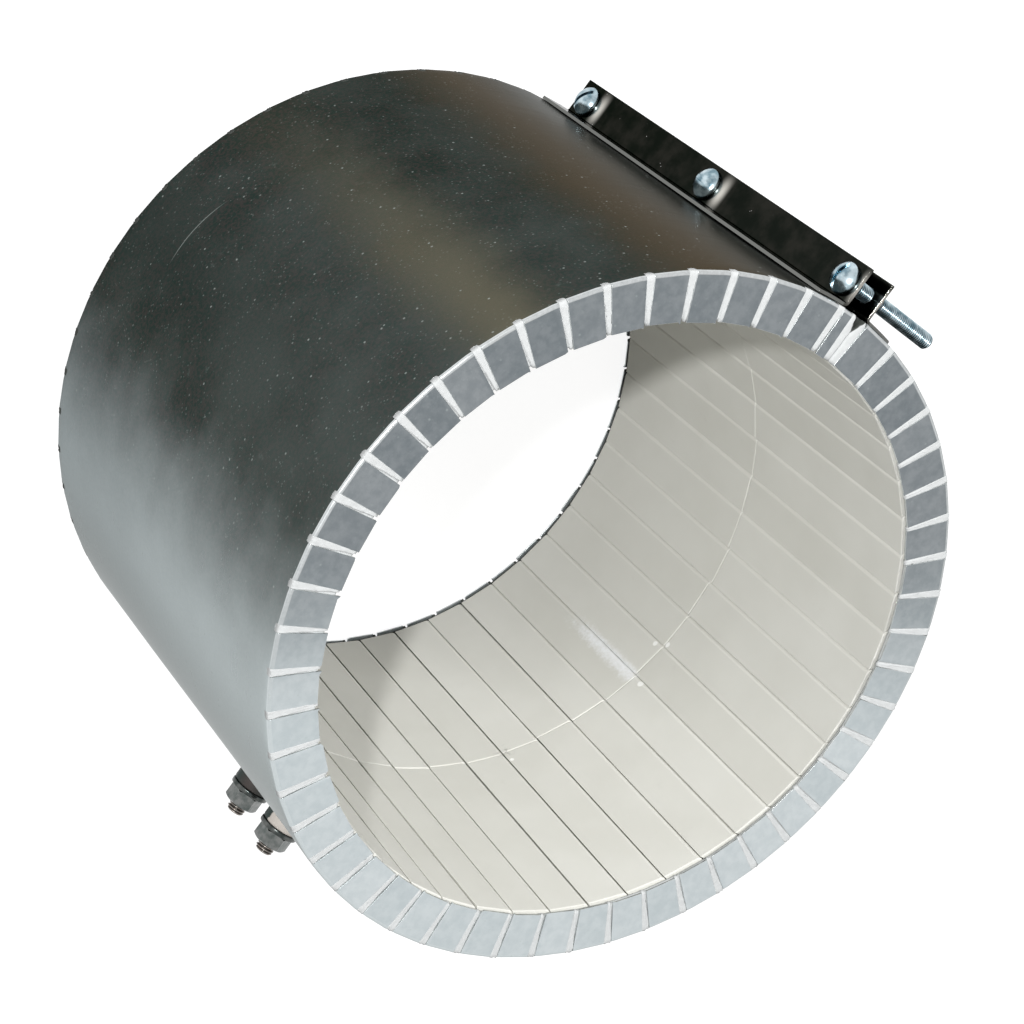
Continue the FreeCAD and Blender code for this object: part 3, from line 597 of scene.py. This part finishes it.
def mat_points():
    """Points for every column and section point.

    A column at slit angle c and place u lies w(r) u to the side, with w the slit's half width
    at that radius. At the split the two ends of the mat touch, and part near the outside.
    """
    centre, place, side, distance, swell = (values[:, None] for values in columns.T)
    radius, level, outwards, upwards = (row[None, :] for row in section.T)
    fluff = rng.normal(0, 1, (3, len(columns), len(section)))
    fluff *= (swell > 0) * (np.hypot(outwards, upwards) > IN_SIGHT)
    parting = 0.06 + 1.5 * np.clip((radius - 105.0) / 4.0, 0, 1) ** 2
    parting = parting * np.clip(1 - distance / 2.5, 0, 1)
    aside = slit_half_width(radius) * place + side * (distance + parting)
    angle = np.radians(centre) + (aside + ROUGH_SIDE * fluff[1]) / radius
    amount = swell * (1 + ROUGH_SWELL * fluff[0])
    r = np.minimum(radius + outwards * amount, JACKET - 0.05)
    z = np.clip(level + upwards * amount + ROUGH_TOP * fluff[2],
                -HALF_LENGTH + 0.02, HALF_LENGTH - 0.02)
    return polar(r, angle, z)


mat, _ = make_piece("fibre_mat", mat_points(), capped_tube(len(columns), len(section)))
print("fibre mat faces:", len(mat.data.polygons))

# %% [markdown]
# Screws and studs are turned and threaded. A turned form is a profile carried round its axis.
# The Screw modifier could wind a thread, but its end is hard to close. Here the thread is a grid
# whose rows climb with the angle, so its ridges follow the grid lines and few rows are enough.


# %% Turned and threaded forms
def turned(profile, columns=64):
    """Points and faces of a profile of (radius, height) carried round Z."""
    a = np.radians(np.arange(columns) * 360 / columns)
    r, z = np.array(profile, float).T[:, :, None]
    return polar(r, a, z), grid_faces(len(profile), columns, close_columns=True).tolist()


def threaded(radius, pitch, start, end, point=0.6, columns=40):
    """Points, faces and thread depth of a rod along Z from start to end, chamfered at the end.

    Height z = pitch * (i / 6 + a / 360) climbs with the angle a, and the depth below the crest
    takes the same six values in every turn. The chamfer keeps r under radius - point + end - z.
    """
    depths = 0.58 * pitch * np.array([0.0, 0.04, 0.55, 1.0, 0.96, 0.5])
    i = np.arange(-6, 6 * (int((end - start) / pitch) + 2))[:, None]
    a = np.linspace(0, 360, columns + 1)[None, :]
    z = start + pitch * (i / 6 + a / 360)
    depth = depths[i % 6] + 0 * a
    r = np.minimum(radius - depth, radius - point + np.clip(end - z, 0, None))
    last_row, tip = (len(i) - 1) * (columns + 1), z.size
    faces = grid_faces(len(i), columns + 1).tolist()
    faces += [[last_row + k, last_row + k + 1, tip] for k in range(columns)]
    points = np.vstack([polar(r, np.radians(a), np.clip(z, start, end)), [0, 0, end]])
    return points, faces, np.append(depth.ravel() / depths.max(), 0.0)


def joined(*forms):
    """One mesh from several (points, faces) forms."""
    points, faces, start = [], [], 0
    for form_points, form_faces in forms:
        points.append(form_points)
        faces += [[start + k for k in face] for face in form_faces]
        start += len(form_points)
    return np.vstack(points), faces


def carried(points, origin, x_axis, z_axis):
    """Points moved so that their own X and Z lie along the given directions."""
    x_axis, z_axis = np.array(x_axis, float), np.array(z_axis, float)
    return points @ np.stack([x_axis, np.cross(z_axis, x_axis), z_axis]) + np.array(origin)


def hexagon_nut(flats, height, bore, columns=96):
    """Points and faces of a nut whose corners are cut by a cone of 30 degrees.

    Its side lies at r = (flats / 2) / cos(a), with a the angle from the middle of a flat, and
    the cone lowers the top to height - (r - 0.96 flats / 2) tan 30 outside that radius.
    """
    a = np.arange(columns) * 360 / columns
    side = flats / 2 / np.cos(np.radians((a + 30) % 60 - 30))
    cone = 0.96 * flats / 2
    drop = (side - cone) * math.tan(math.radians(30))
    ease = 0.45
    lip = bore + ease
    rows = [(bore, ease), (lip, 0), (cone, 0), (side, drop), (side, height - drop),
            (cone, height), (lip, height), (bore, height - ease)]
    turn = np.radians(a + 30)
    points = np.vstack([polar(r, turn, z) for r, z in rows])
    faces = grid_faces(len(rows), columns, close_rows=True, close_columns=True)
    return points, faces[:, ::-1]


def make_nut(name, size, origin, x_axis, z_axis):
    """Nut of (flats, height, bore) with crisp edges, seated at the origin."""
    points, faces = hexagon_nut(*size)
    nut, _ = make_piece(name, carried(points, origin, x_axis, z_axis), faces)
    split_edges(nut, "crisp_edges", 20)
    return nut


# %% [markdown]
# Each clamp screw has a low domed head with one slot. The slot could be a groove in the grid of
# the dome, but it runs across at an angle of its own, so a Boolean cuts it.


# %% Clamp screws
def head_profile():
    """Outline of the head from the shank over the rim to the crown."""
    rim, radius = 1.1, 5.0
    rise = HEAD_HEIGHT - rim
    dome = (radius ** 2 + rise ** 2) / (2 * rise)
    crown = np.linspace(math.asin((radius - 0.15) / dome), 0.0, 14)
    profile = [(2.3, 0.0), (radius - 0.25, 0.0), (radius, -0.2), (radius, -rim + 0.05)]
    profile += [(dome * math.sin(t), -rim - (dome * math.cos(t) - (dome - rise))) for t in crown]
    return profile


def cut_slot(piece, centre, along, depth_way):
    """Slot of 1.3 mm across the head, as a hidden cutting box on a Boolean."""
    half = np.array([6.5, 0.65, 1.8])
    corners = np.array([(x, y, z) for x in (-1, 1) for y in (-1, 1) for z in (-1, 1)]) * half
    faces = [(0, 1, 3, 2), (4, 6, 7, 5), (0, 4, 5, 1), (2, 3, 7, 6), (0, 2, 6, 4), (1, 5, 7, 3)]
    cutter, _ = make_piece(piece.name + "_slot_cutter",
                           carried(corners, centre, along, depth_way), faces, smooth=False)
    add_modifier(piece, "slot", "BOOLEAN", operation="DIFFERENCE", solver="EXACT",
                 object=cutter)
    return cutter


SLOT_TURNS = (31.0, 97.0, 5.0)
HEAD_HEIGHT = 3.8
CLAMP_X, CLAMP_Z = (1, 0, 0), (0, 1, 0)
screws, cutters = [], []
for number, (level, slot_turn) in enumerate(zip(SCREW_LEVELS, SLOT_TURNS), start=1):
    seat = np.array([SCREW_AXIS_X, -WALL_FACE, level])
    points, faces = turned(head_profile())
    head, _ = make_piece(f"clamp_screw_head_{number}", carried(points, seat, CLAMP_X, CLAMP_Z),
                         faces + [list(range(64))[::-1]])
    merge_points(head)
    turn = math.radians(slot_turn)
    along = np.array([math.cos(turn), 0, -math.sin(turn)])
    cutters.append(cut_slot(head, seat - [0, HEAD_HEIGHT, 0], along, CLAMP_Z))
    split_edges(head, "crisp_slot", 40)
    points, faces, depth = threaded(2.5, 0.8, 0.0, 40.0)
    shank, used = make_piece(f"clamp_screw_thread_{number}",
                             carried(points, seat, CLAMP_X, CLAMP_Z), faces)
    set_attribute(shank, "depth", depth[used])
    merge_points(shank)
    screws.append((head, shank))
print("screws:", len(screws), "thread faces each:", len(shank.data.polygons))

# %% [markdown]
# The Boolean is applied right away, so that no cutting box stays behind in the finished scene.


# %% Apply the slot cuts and remove the cutting boxes
def apply_modifiers(piece):
    """Put what the modifiers make into the mesh itself."""
    bpy.context.view_layer.update()
    graph = bpy.context.evaluated_depsgraph_get()
    mesh = bpy.data.meshes.new_from_object(piece.evaluated_get(graph), depsgraph=graph)
    piece.modifiers.clear()
    piece.data = mesh


for head, _ in screws:
    apply_modifiers(head)
for cutter in cutters:
    bpy.data.objects.remove(cutter)
print("faces of the last head:", len(head.data.polygons))

# %% [markdown]
# The clamp nuts are thin hexagons. A nut is a turned form whose side follows the hexagon, and a
# cone cuts its corners, so the curved marks on the flats come out by themselves.

# %% Nuts of the clamp
clamp_nuts = [make_nut(f"clamp_nut_hex_{number}", (8.0, 2.7, 2.45),
                       (SCREW_AXIS_X, WALL_FACE, level), (0, 0, 1), CLAMP_Z)
              for number, level in enumerate(SCREW_LEVELS, start=1)]
print("clamp nuts:", len(clamp_nuts), "faces each:", len(clamp_nuts[0].data.polygons))

# %% [markdown]
# The two brackets are bent sheet with three holes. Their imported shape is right, so a copy of it
# is cleaned of its triangles and gets soft edges. Faces about as narrow as the sheet is thick
# are its cut edges, and they take a second, paler material.


# %% Soft-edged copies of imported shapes
def softened_copy(node, width_mm):
    """Copy of a CAD node with its flat faces joined up again and its edges rounded."""
    name = node.removeprefix("clamp_")
    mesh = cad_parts[node].data.copy()
    work = bmesh.new()
    work.from_mesh(mesh)
    bmesh.ops.remove_doubles(work, verts=work.verts, dist=1e-6)
    bmesh.ops.dissolve_limit(work, angle_limit=math.radians(1.0), verts=work.verts,
                             edges=work.edges)
    for face in work.faces:
        face.smooth = True
        narrow = 2 * face.calc_area() / face.calc_perimeter() < 0.7 * MM
        long_side = max(edge.calc_length() for edge in face.edges) > 4 * MM
        face.material_index = 1 if narrow and long_side else 0
    work.to_mesh(mesh)
    work.free()
    if mesh.attributes.get("custom_normal"):
        mesh.attributes.remove(mesh.attributes["custom_normal"])
    piece = in_scene(name, mesh)
    soften_edges(piece, width_mm)
    cut = sum(polygon.material_index for polygon in mesh.polygons)
    print(name, "faces:", len(mesh.polygons), "of the cut edge:", cut)
    return piece


BRACKET_NODES = ("clamp_bracket_nut_side", "clamp_bracket_head_side")
brackets = [softened_copy(node, 0.22) for node in BRACKET_NODES]

# %% [markdown]
# A terminal is a stack on one stud: a ceramic bush, a washer, a nut, and the free end of the
# thread. The bush and the washer are turned forms with eased edges, and the stud is a disc and a
# thread in one mesh. Each of them stays a piece of its own, because washer and nut can move.

# %% Terminals
STUD_SEAT, BUSH_SEAT, WASHER_SEAT, NUT_SEAT = 105.6, 107.0, 119.8, 121.4
BUSH_PROFILE = [(3.2, 0.0), (4.8, 0.0), (4.8, 3.6), (6.2, 3.6), (6.45, 3.75), (6.5, 4.0),
                (6.5, 7.2), (6.38, 7.35), (6.38, 7.6), (6.5, 7.75), (6.5, 12.1), (6.3, 12.5),
                (5.8, 12.8), (3.5, 12.8), (3.2, 12.6)]
WASHER_PROFILE = [(3.3, 0.0), (6.3, 0.0), (6.55, 0.15), (6.6, 0.4), (6.6, 1.2), (6.55, 1.45),
                  (6.3, 1.6), (3.3, 1.6)]
HEAD_PROFILE = [(0.0, 0.0), (5.3, 0.0), (5.4, 0.1), (5.4, 1.3), (5.3, 1.4), (2.9, 1.4)]
OUT_X, OUT_Z = (0, 0, 1), (1, 0, 0)
terminals = []
for number, level in enumerate(TERMINAL_LEVELS, start=1):
    stack = {}
    for part, profile, seat in (("bush", BUSH_PROFILE, BUSH_SEAT),
                                ("washer", WASHER_PROFILE, WASHER_SEAT)):
        points, faces = turned(profile + [profile[0]], 56)
        stack[part], _ = make_piece(f"terminal_{part}_form_{number}",
                                    carried(points, (seat, 0, level), OUT_X, OUT_Z), faces)
        merge_points(stack[part])
        split_edges(stack[part], "crisp_edges", 50)
    stack["nut"] = make_nut(f"terminal_nut_hex_{number}", (10.0, 5.0, 2.95),
                            (NUT_SEAT, 0, level), OUT_X, OUT_Z)
    head_form = turned(HEAD_PROFILE, 56)
    *stud_form, depth = threaded(3.0, 1.0, 1.4, 23.8)
    points, faces = joined(head_form, stud_form)
    stack["stud"], used = make_piece(f"terminal_stud_thread_{number}",
                                     carried(points, (STUD_SEAT, 0, level), OUT_X, OUT_Z), faces)
    depth = np.concatenate([np.zeros(len(head_form[0])), depth])
    set_attribute(stack["stud"], "depth", depth[used])
    merge_points(stack["stud"])
    terminals.append(stack)
print("terminals:", len(terminals), "pieces in each:", len(stack))

# %% [markdown]
# Jacket steel: a bright rolled sheet. Its colour holds a painted reflection: dark round the back,
# brown and olive in bands beside the clamp, lighter towards the front rim, and pale on the side
# of the terminals, on the wall and the tabs alike. The sheet also keeps rolling marks, cloudy
# patches, dust and a scratch. On the tabs it is dull, and along the front fold it has a painted
# highlight. A painted picture could hold all this; here each is one formula of the place on the
# heater, and they are mixed one after the other.


# %% Finish of the jacket
def painted_wall_reflection(steel, clouds, mottle):
    """Painted reflection: wall colour by angle round the heater and height, and paleness from 0
    to 1.
    """
    angle = steel.azimuth()
    wavy = angle + (clouds - 0.5) * 10.0
    # Painted reflection: pale on the side of the terminals, dark, brown and olive bands round the
    # back, lighter upwards.
    pale = wavy.step(279, 315) + (1 - angle.step(90, 140))
    upwards = steel.z.step(-86, 86)
    dark = steel.coats(
        steel.blend(mottle.step(0.38, 0.62), (0.020, 0.034, 0.030), (0.045, 0.041, 0.039)),
        (clouds.step(0.3, 0.7) * 0.35 + upwards * 0.25, (0.082, 0.096, 0.091)),
        (wavy.near(267, 15) * (1 - upwards) * 0.4, (0.022, 0.030, 0.028)),
        (wavy.near(240, 12) * (0.12 + upwards * 0.6), (0.135, 0.124, 0.088)),
        (wavy.near(206, 17) * 0.8, (0.105, 0.080, 0.054)))
    light = steel.blend(mottle * 0.4 + upwards * 0.6, (0.37, 0.415, 0.43), (0.62, 0.68, 0.69))
    return steel.blend(pale, dark, light), pale


def jacket_dust(steel):
    """Amount of white on the wall: specks of two sizes, smears and one curved scratch."""
    specks = steel.flecks(4.2, (0.04, 0.12), 15.0, (0.40, 0.55))
    grains = steel.flecks(1.5, (0.10, 0.24), 5.0, (0.42, 0.6))
    smears = steel.noise(6.0, detail=5, roughness=0.7).step(0.62, 0.78) * 0.10
    centre = steel.distance(-15.6, -109.4, -5.8)
    scratch = centre.near(48.9, 0.35) * steel.z.near(-54.7, 1.9) * 0.5
    return (specks * 0.5 + grains * 0.18 + smears + scratch).maths("MINIMUM", 1.0)


def jacket_steel():
    steel = Finish("jacket_steel", metallic=1.0, roughness=0.3)
    steel.set("Specular Tint", (0.43, 0.43, 0.42))
    tab, tone = (steel.attribute(name) for name in ("tab", "tone"))
    clouds = steel.noise(34.0, detail=4, roughness=0.55)
    mottle = steel.noise(1.1, detail=4, roughness=0.65)
    along_roll = add_node(steel.tree, "CombineXYZ",
                          {0: steel.x * 0.06, 1: steel.y * 0.06, 2: steel.z})
    rolling = steel.noise(1.6, detail=4, place=along_roll.outputs[0])
    wall, pale = painted_wall_reflection(steel, clouds, mottle)
    # Painted highlight along the front fold, fainter on the pale side.
    fold = steel.z.step(FOLD_START - 0.1, FOLD_START + 0.05) * (1 - tab) * (1 - pale * 0.75)
    patches = steel.noise(3.0, detail=5, roughness=0.6).step(0.3, 0.7)
    worn = patches * 0.45 + clouds * 0.35 + tone * 0.22
    # The tabs share the wall's painted reflection: dull_dark round the back, dull_pale on the
    # side of the terminals.
    dull_dark = steel.blend(worn, (0.165, 0.187, 0.20), (0.275, 0.295, 0.307))
    dull_pale = steel.blend(worn, (0.47, 0.52, 0.535), (0.61, 0.65, 0.66))
    white = jacket_dust(steel) * (1 - tab * 0.5)
    steel.set("Base Color", steel.coats(
        wall, (tab, steel.blend(pale, dull_dark, dull_pale)),
        (fold * (0.5 + mottle * 0.5), (0.74, 0.77, 0.78)), (white, (0.36, 0.40, 0.38))))
    steel.set("Metallic", 1 - white * 0.9 - tab * 0.2)
    steel.set("Roughness", 0.23 + rolling * 0.07 + clouds * 0.05 + tab * 0.17 + white * 0.3)
    steel.relief(rolling * 0.5 + mottle * 0.4 + clouds * 3.0, 0.05, 0.35)
    return steel


steel_finish = jacket_steel()
dress(jacket, steel_finish, "band", ["outer_jacket"])

# %% [markdown]
# Steatite tiles are matt and off-white, each in a shade of its own, with hardly any grain. What
# shows are marks of handling: a white smear along one joint, a few dabs of cement and a dark
# scrape. The smear is a range of angle and height with a ragged edge, and the others are soft
# spots around points.


# %% Finish of the tiles
# Strength of the painted highlight on the eased lip beside each joint.
LIP_HIGHLIGHT = 0.3
DABS = ((12.5, 94.2, -3.8, 1.6), (10.0, 94.5, 1.0, 1.6), (25.1, 91.6, 5.0, 2.0),
        (68.0, 66.3, 5.0, 1.2))


def tile_ceramic():
    ceramic = Finish("tile_ceramic", roughness=0.62, specular=0.3)
    tone = ceramic.attribute("tone")
    clouds = ceramic.noise(26.0, detail=3)
    grain = ceramic.noise(0.5, detail=3)
    base = ceramic.blend(clouds.step(0.25, 0.75) * 0.5 + tone * 0.28 + 0.25,
                         (0.575, 0.572, 0.528), (0.645, 0.643, 0.603))
    rubbed = ceramic.noise(9.0, detail=6, roughness=0.72).step(0.62, 0.80)
    ragged = ceramic.noise(1.6, detail=4, roughness=0.7)
    streak = ceramic.azimuth().near(74.5, 3.2) * ceramic.z.step(-56, -22)
    streak = streak * (1 - ceramic.z.step(-2, 4))
    smear = (streak * 1.1 + ragged * 1.6 - 0.9).step(0.05, 1.3)
    dabs = ceramic.spots(DABS).step(0.25, 0.5)
    scrape = ceramic.distance(68.2, 66.2, -0.3).near(0, 5.0) * ragged.step(0.50, 0.62)
    # The eased lip beside each joint gets a painted highlight.
    ceramic.set("Base Color", ceramic.coats(
        base, (rubbed * 0.12, (0.36, 0.35, 0.31)),
        (ceramic.attribute("lip") * LIP_HIGHLIGHT, (0.80, 0.79, 0.74)),
        (smear * 0.8, (0.86, 0.88, 0.91)), (dabs * 0.9, (0.88, 0.88, 0.86)),
        (scrape * 0.55, (0.20, 0.19, 0.17))))
    ceramic.set("Roughness", 0.58 + grain * 0.15)
    ceramic.relief(grain + clouds * 0.6 + dabs, 0.03, 0.4)
    return ceramic


tile_finish = tile_ceramic()
dress(tiles, tile_finish, "band",
      [f"tile_set_{number:02d}" for number in range(1, 16)])


# %% [markdown]
# Ceramic fibre is white wool. Two noises, a fine and a coarse one, make its colour and its bump.
# In the notch of the split and at the rear rim little light falls on it, so its colour is painted
# dark there as shade.


# %% Finish of the fibre mat
def fibre():
    wool = Finish("ceramic_fibre", roughness=0.95, specular=0.2)
    threads = wool.noise(0.35, detail=5, roughness=0.7)
    lumps = wool.noise(1.8, detail=3)
    white = wool.blend(threads * 0.6 + lumps * 0.4, (0.38, 0.39, 0.39), (0.57, 0.585, 0.585))
    outwards = wool.x * -1.0 - 105.2
    # Painted shade: dark in the notch of the split and at the rear rim.
    notch = (outwards * 0.45 - wool.y.absolute()).step(0.0, 0.3)
    painted_shade = notch.maths("MAXIMUM", wool.z.step(-83, -84))
    wool.set("Base Color", wool.blend(painted_shade, white, (0.05, 0.055, 0.05)))
    wool.relief(threads + lumps * 0.6, 0.12, 0.5)
    return wool


fibre_finish = fibre()
dress(mat, fibre_finish, "band", ["insulation_blanket"])

# %% [markdown]
# The clamp sheet is bright steel, and its colour is painted nearly black as a reflection of the
# dark room. Its cut edges are pale, and beside each screw it has a painted reflection of the
# head.
# The screws are zinc plated, with a blue cast, and the clamp nuts are a darker plate. Thread
# roots are painted dark as shade. The terminals are plated steel that heat has browned at the
# ends, on bushes painted nearly black as shade, with their lit front side painted lighter.


# %% Finishes of the clamp and the terminals
def metal(name, dark, light, roughness, grain_mm, stain=None):
    """Bare metal with a soft change of colour, a fine grain and painted shade in thread roots."""
    bare = Finish(name, metallic=1.0)
    clouds = bare.noise(grain_mm * 8, detail=4)
    grain = bare.noise(grain_mm, detail=3)
    colour = bare.blend(clouds.step(0.3, 0.7), dark, light)
    if stain:
        blotches = bare.noise(grain_mm * 3, detail=5, roughness=0.7)
        colour = bare.blend(blotches.step(0.45, 0.68), colour, stain)
    # Painted shade: thread roots go dark.
    painted_root_shade = bare.attribute("depth").step(0.1, 0.9)
    bare.set("Base Color", bare.blend(painted_root_shade * 0.85, colour, tuple(0.12 * part for part in dark)))
    bare.set("Roughness", grain * 0.12 + clouds * 0.08 + (roughness - 0.1))
    bare.relief(grain, 0.03, 0.3)
    return bare


def bracket_steel():
    """Painted reflection: nearly black, with specks, and a pale head reflection beside each
    screw.
    """
    sheet = Finish("bracket_steel")
    clouds = sheet.noise(7.0, detail=5, roughness=0.6)
    # Painted reflection of a dark room: the sheet is nearly black.
    colour = sheet.blend(clouds.step(0.35, 0.75), (0.010, 0.012, 0.010), (0.022, 0.022, 0.019))
    sheet.set("Specular Tint", (0.3, 0.3, 0.3))
    side = (sheet.y.absolute() - WALL_FACE).step(0.3, 1.0)
    # Painted reflection of each screw head on the wall beside it.
    patches = [(sheet.z - (level + 7.6)).near(0, 3.4) * sheet.x.near(SCREW_AXIS_X + 0.1, 7.5)
               for level in SCREW_LEVELS]
    specks = sheet.flecks(3.0, (0.03, 0.07), 11.0, (0.48, 0.6))
    sheet.set("Base Color", sheet.coats(
        colour, (side * 0.7, (0.22, 0.225, 0.215)),
        *((patch * (1 - side) * 0.9, (0.62, 0.60, 0.55)) for patch in patches),
        (specks * 0.7, (0.5, 0.5, 0.48))))
    sheet.set("Metallic", 1 - specks * 0.8)
    sheet.set("Roughness", clouds * 0.12 + 0.08)
    return sheet


bracket_finish = bracket_steel()
edge_finish = metal("bracket_cut_edge", (0.62, 0.58, 0.50), (0.85, 0.82, 0.74), 0.35, 0.8)
sheet_edge_finish = metal("jacket_cut_edge", (0.50, 0.53, 0.53), (0.72, 0.75, 0.75), 0.35, 0.8)
zinc_finish = metal("zinc_plate", (0.13, 0.215, 0.26), (0.50, 0.60, 0.645), 0.22, 0.35)
dark_zinc_finish = metal("dark_zinc_plate", (0.075, 0.09, 0.10), (0.15, 0.17, 0.18), 0.3, 0.4)
terminal_finish = metal("terminal_plate", (0.10, 0.115, 0.11), (0.21, 0.215, 0.21), 0.2, 0.3)
washer_finish = metal("terminal_washer_plate", (0.045, 0.053, 0.051), (0.12, 0.125, 0.12), 0.25,
                      0.3)
stud_finish = metal("terminal_thread", (0.20, 0.19, 0.175), (0.40, 0.37, 0.34), 0.34, 0.3,
                    stain=(0.27, 0.19, 0.155))


def bush_ceramic():
    """Nearly black green as painted shade, with the lit front side painted brownish on one bush
    and cream on the other.
    """
    shaded_bush = Finish("bush_ceramic", roughness=0.45, specular=0.15)
    cloud = shaded_bush.noise(2.0, detail=4, roughness=0.6)
    wavy = shaded_bush.z + (cloud - 0.5) * 2.0
    # Painted shade over the bush, and painted light on its front side.
    shaded_bush.set("Base Color", shaded_bush.coats(
        shaded_bush.blend(cloud, (0.012, 0.022, 0.019), (0.030, 0.044, 0.040)),
        (wavy.near(TERMINAL_LEVELS[0] + 4.0, 5.0) * 0.8, (0.065, 0.052, 0.049)),
        (wavy.step(TERMINAL_LEVELS[1] + 0.6, TERMINAL_LEVELS[1] + 1.2), (0.50, 0.46, 0.42))))
    shaded_bush.relief(cloud, 0.05, 0.4)
    return shaded_bush


bush_finish = bush_ceramic()
wire_finish = metal("heating_wire", (0.20, 0.18, 0.16), (0.33, 0.29, 0.25), 0.5, 0.6)

# %% [markdown]
# Now every piece gets its finish, and rides on the body that it moves with. The coil and the
# lead strips lie hidden inside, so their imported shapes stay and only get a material.

# %% Dress the clamp, the terminals and the hidden heating parts
jacket.data.materials.append(sheet_edge_finish.material)
for bracket, node in zip(brackets, BRACKET_NODES):
    dress(bracket, bracket_finish, "band", [node])
    bracket.data.materials.append(edge_finish.material)
for number, ((head, shank), nut) in enumerate(zip(screws, clamp_nuts), start=1):
    screw_node, nut_node = f"clamp_screw_{number}", f"clamp_nut_{number}"
    dress(head, zinc_finish, screw_node, [screw_node])
    dress(shank, zinc_finish, screw_node)
    dress(nut, dark_zinc_finish, nut_node, [nut_node])
TERMINAL_LOOKS = {"bush": bush_finish, "stud": stud_finish, "washer": washer_finish,
                  "nut": terminal_finish}
for number, stack in enumerate(terminals, start=1):
    for part, finish in TERMINAL_LOOKS.items():
        node = f"terminal_{part}_{number}"
        dress(stack[part], finish,
              node if part in ("washer", "nut") else "band", [node])
for node in ("heating_coil", "lead_strip_front", "lead_strip_rear"):
    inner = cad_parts[node]
    inner.data.materials.clear()
    inner.data.materials.append(wire_finish.material)

# %% [markdown]
# The stage: a floor under the rear rim and a plain world. The world lights the object mildly,
# and is white to the camera and to mirrors. The floor is a dim grey that glows for the same
# rays, so it looks white, lights nothing, and keeps a faint shadow.


# %% Floor and world
def seen_directly(tree):
    """1 for rays from the camera, mirrors and glass, and 0 for rays that gather light."""
    ray = tree.nodes.new("ShaderNodeLightPath")
    camera, glossy, glass = (Field(tree, ray.outputs[name]) for name in
                             ("Is Camera Ray", "Is Glossy Ray", "Is Transmission Ray"))
    return camera.maths("MAXIMUM", glossy).maths("MAXIMUM", glass)


FLOOR_LEVEL = -0.0862
FLOOR_REACH = 3.0
corners = [(x * FLOOR_REACH, y * FLOOR_REACH, FLOOR_LEVEL)
           for x, y in ((-1, -1), (1, -1), (1, 1), (-1, 1))]
floor_mesh = bpy.data.meshes.new("studio_floor")
floor_mesh.from_pydata(corners, [], [(0, 1, 2, 3)])
floor = in_scene("studio_floor", floor_mesh)
floor_finish = Finish("studio_white", roughness=0.9, specular=0.0)
floor_finish.set("Base Color", (0.25, 0.25, 0.25))
floor_finish.set("Emission Color", (1.0, 1.0, 1.0))
floor_finish.set("Emission Strength", seen_directly(floor_finish.tree) * 0.86)
floor.data.materials.append(floor_finish.material)

world = bpy.data.worlds.new("studio")
bpy.context.scene.world = world
world.use_nodes = True
backdrop = world.node_tree.nodes["Background"]
WORLD_LIGHT = 0.48
plug(world.node_tree, backdrop.inputs["Color"], (1.0, 1.0, 1.0))
plug(world.node_tree, backdrop.inputs["Strength"],
     seen_directly(world.node_tree) * (1.0 - WORLD_LIGHT) + WORLD_LIGHT)
print("floor at", FLOOR_LEVEL, "m, world light", WORLD_LIGHT)

# %% [markdown]
# A flash beside the lens lit the photograph: the hard shadow in the bore gives its direction.
# A small lamp stands there, and a soft one fills in from the side of the clamp.


# %% Lamps
def lamp(name, azimuth_deg, elevation_deg, distance_m, size_m, power_w):
    """Area lamp at a direction from the heater's middle, turned towards it."""
    a, e = math.radians(azimuth_deg), math.radians(elevation_deg)
    place = Vector((math.cos(e) * math.cos(a), math.cos(e) * math.sin(a), math.sin(e)))
    light = bpy.data.lights.new(name, "AREA")
    light.shape = "DISK"
    light.size = size_m
    light.energy = power_w
    holder = in_scene(name, light)
    holder.matrix_world = Matrix.Translation(place * distance_m) @ \
        place.to_track_quat("Z", "Y").to_matrix().to_4x4()
    print(name, "lamp:", power_w, "W at", [round(v * distance_m, 2) for v in place])
    return holder


lamp("flash", 262.9, 46.2, 1.5, 0.06, 17.8)
lamp("soft_side", 185.0, 50.0, 1.4, 0.5, 14.0).visible_glossy = False

# %% [markdown]
# The camera stands where both rims of the photographed heater place it: a fit of the two
# ellipses gave its place, its turn and its lens.

# %% Camera
camera_data = bpy.data.cameras.new("camera")
camera_data.lens = 97.89
camera_data.sensor_width = 36.0
camera_data.clip_start = 0.05
camera = in_scene("camera", camera_data)
camera.location = (-0.09283, -0.52989, 0.67125)
camera.rotation_euler = [math.radians(v) for v in (-29.5435, -26.9855, 131.5802)]
bpy.context.scene.camera = camera
bpy.context.scene.view_settings.view_transform = "Standard"
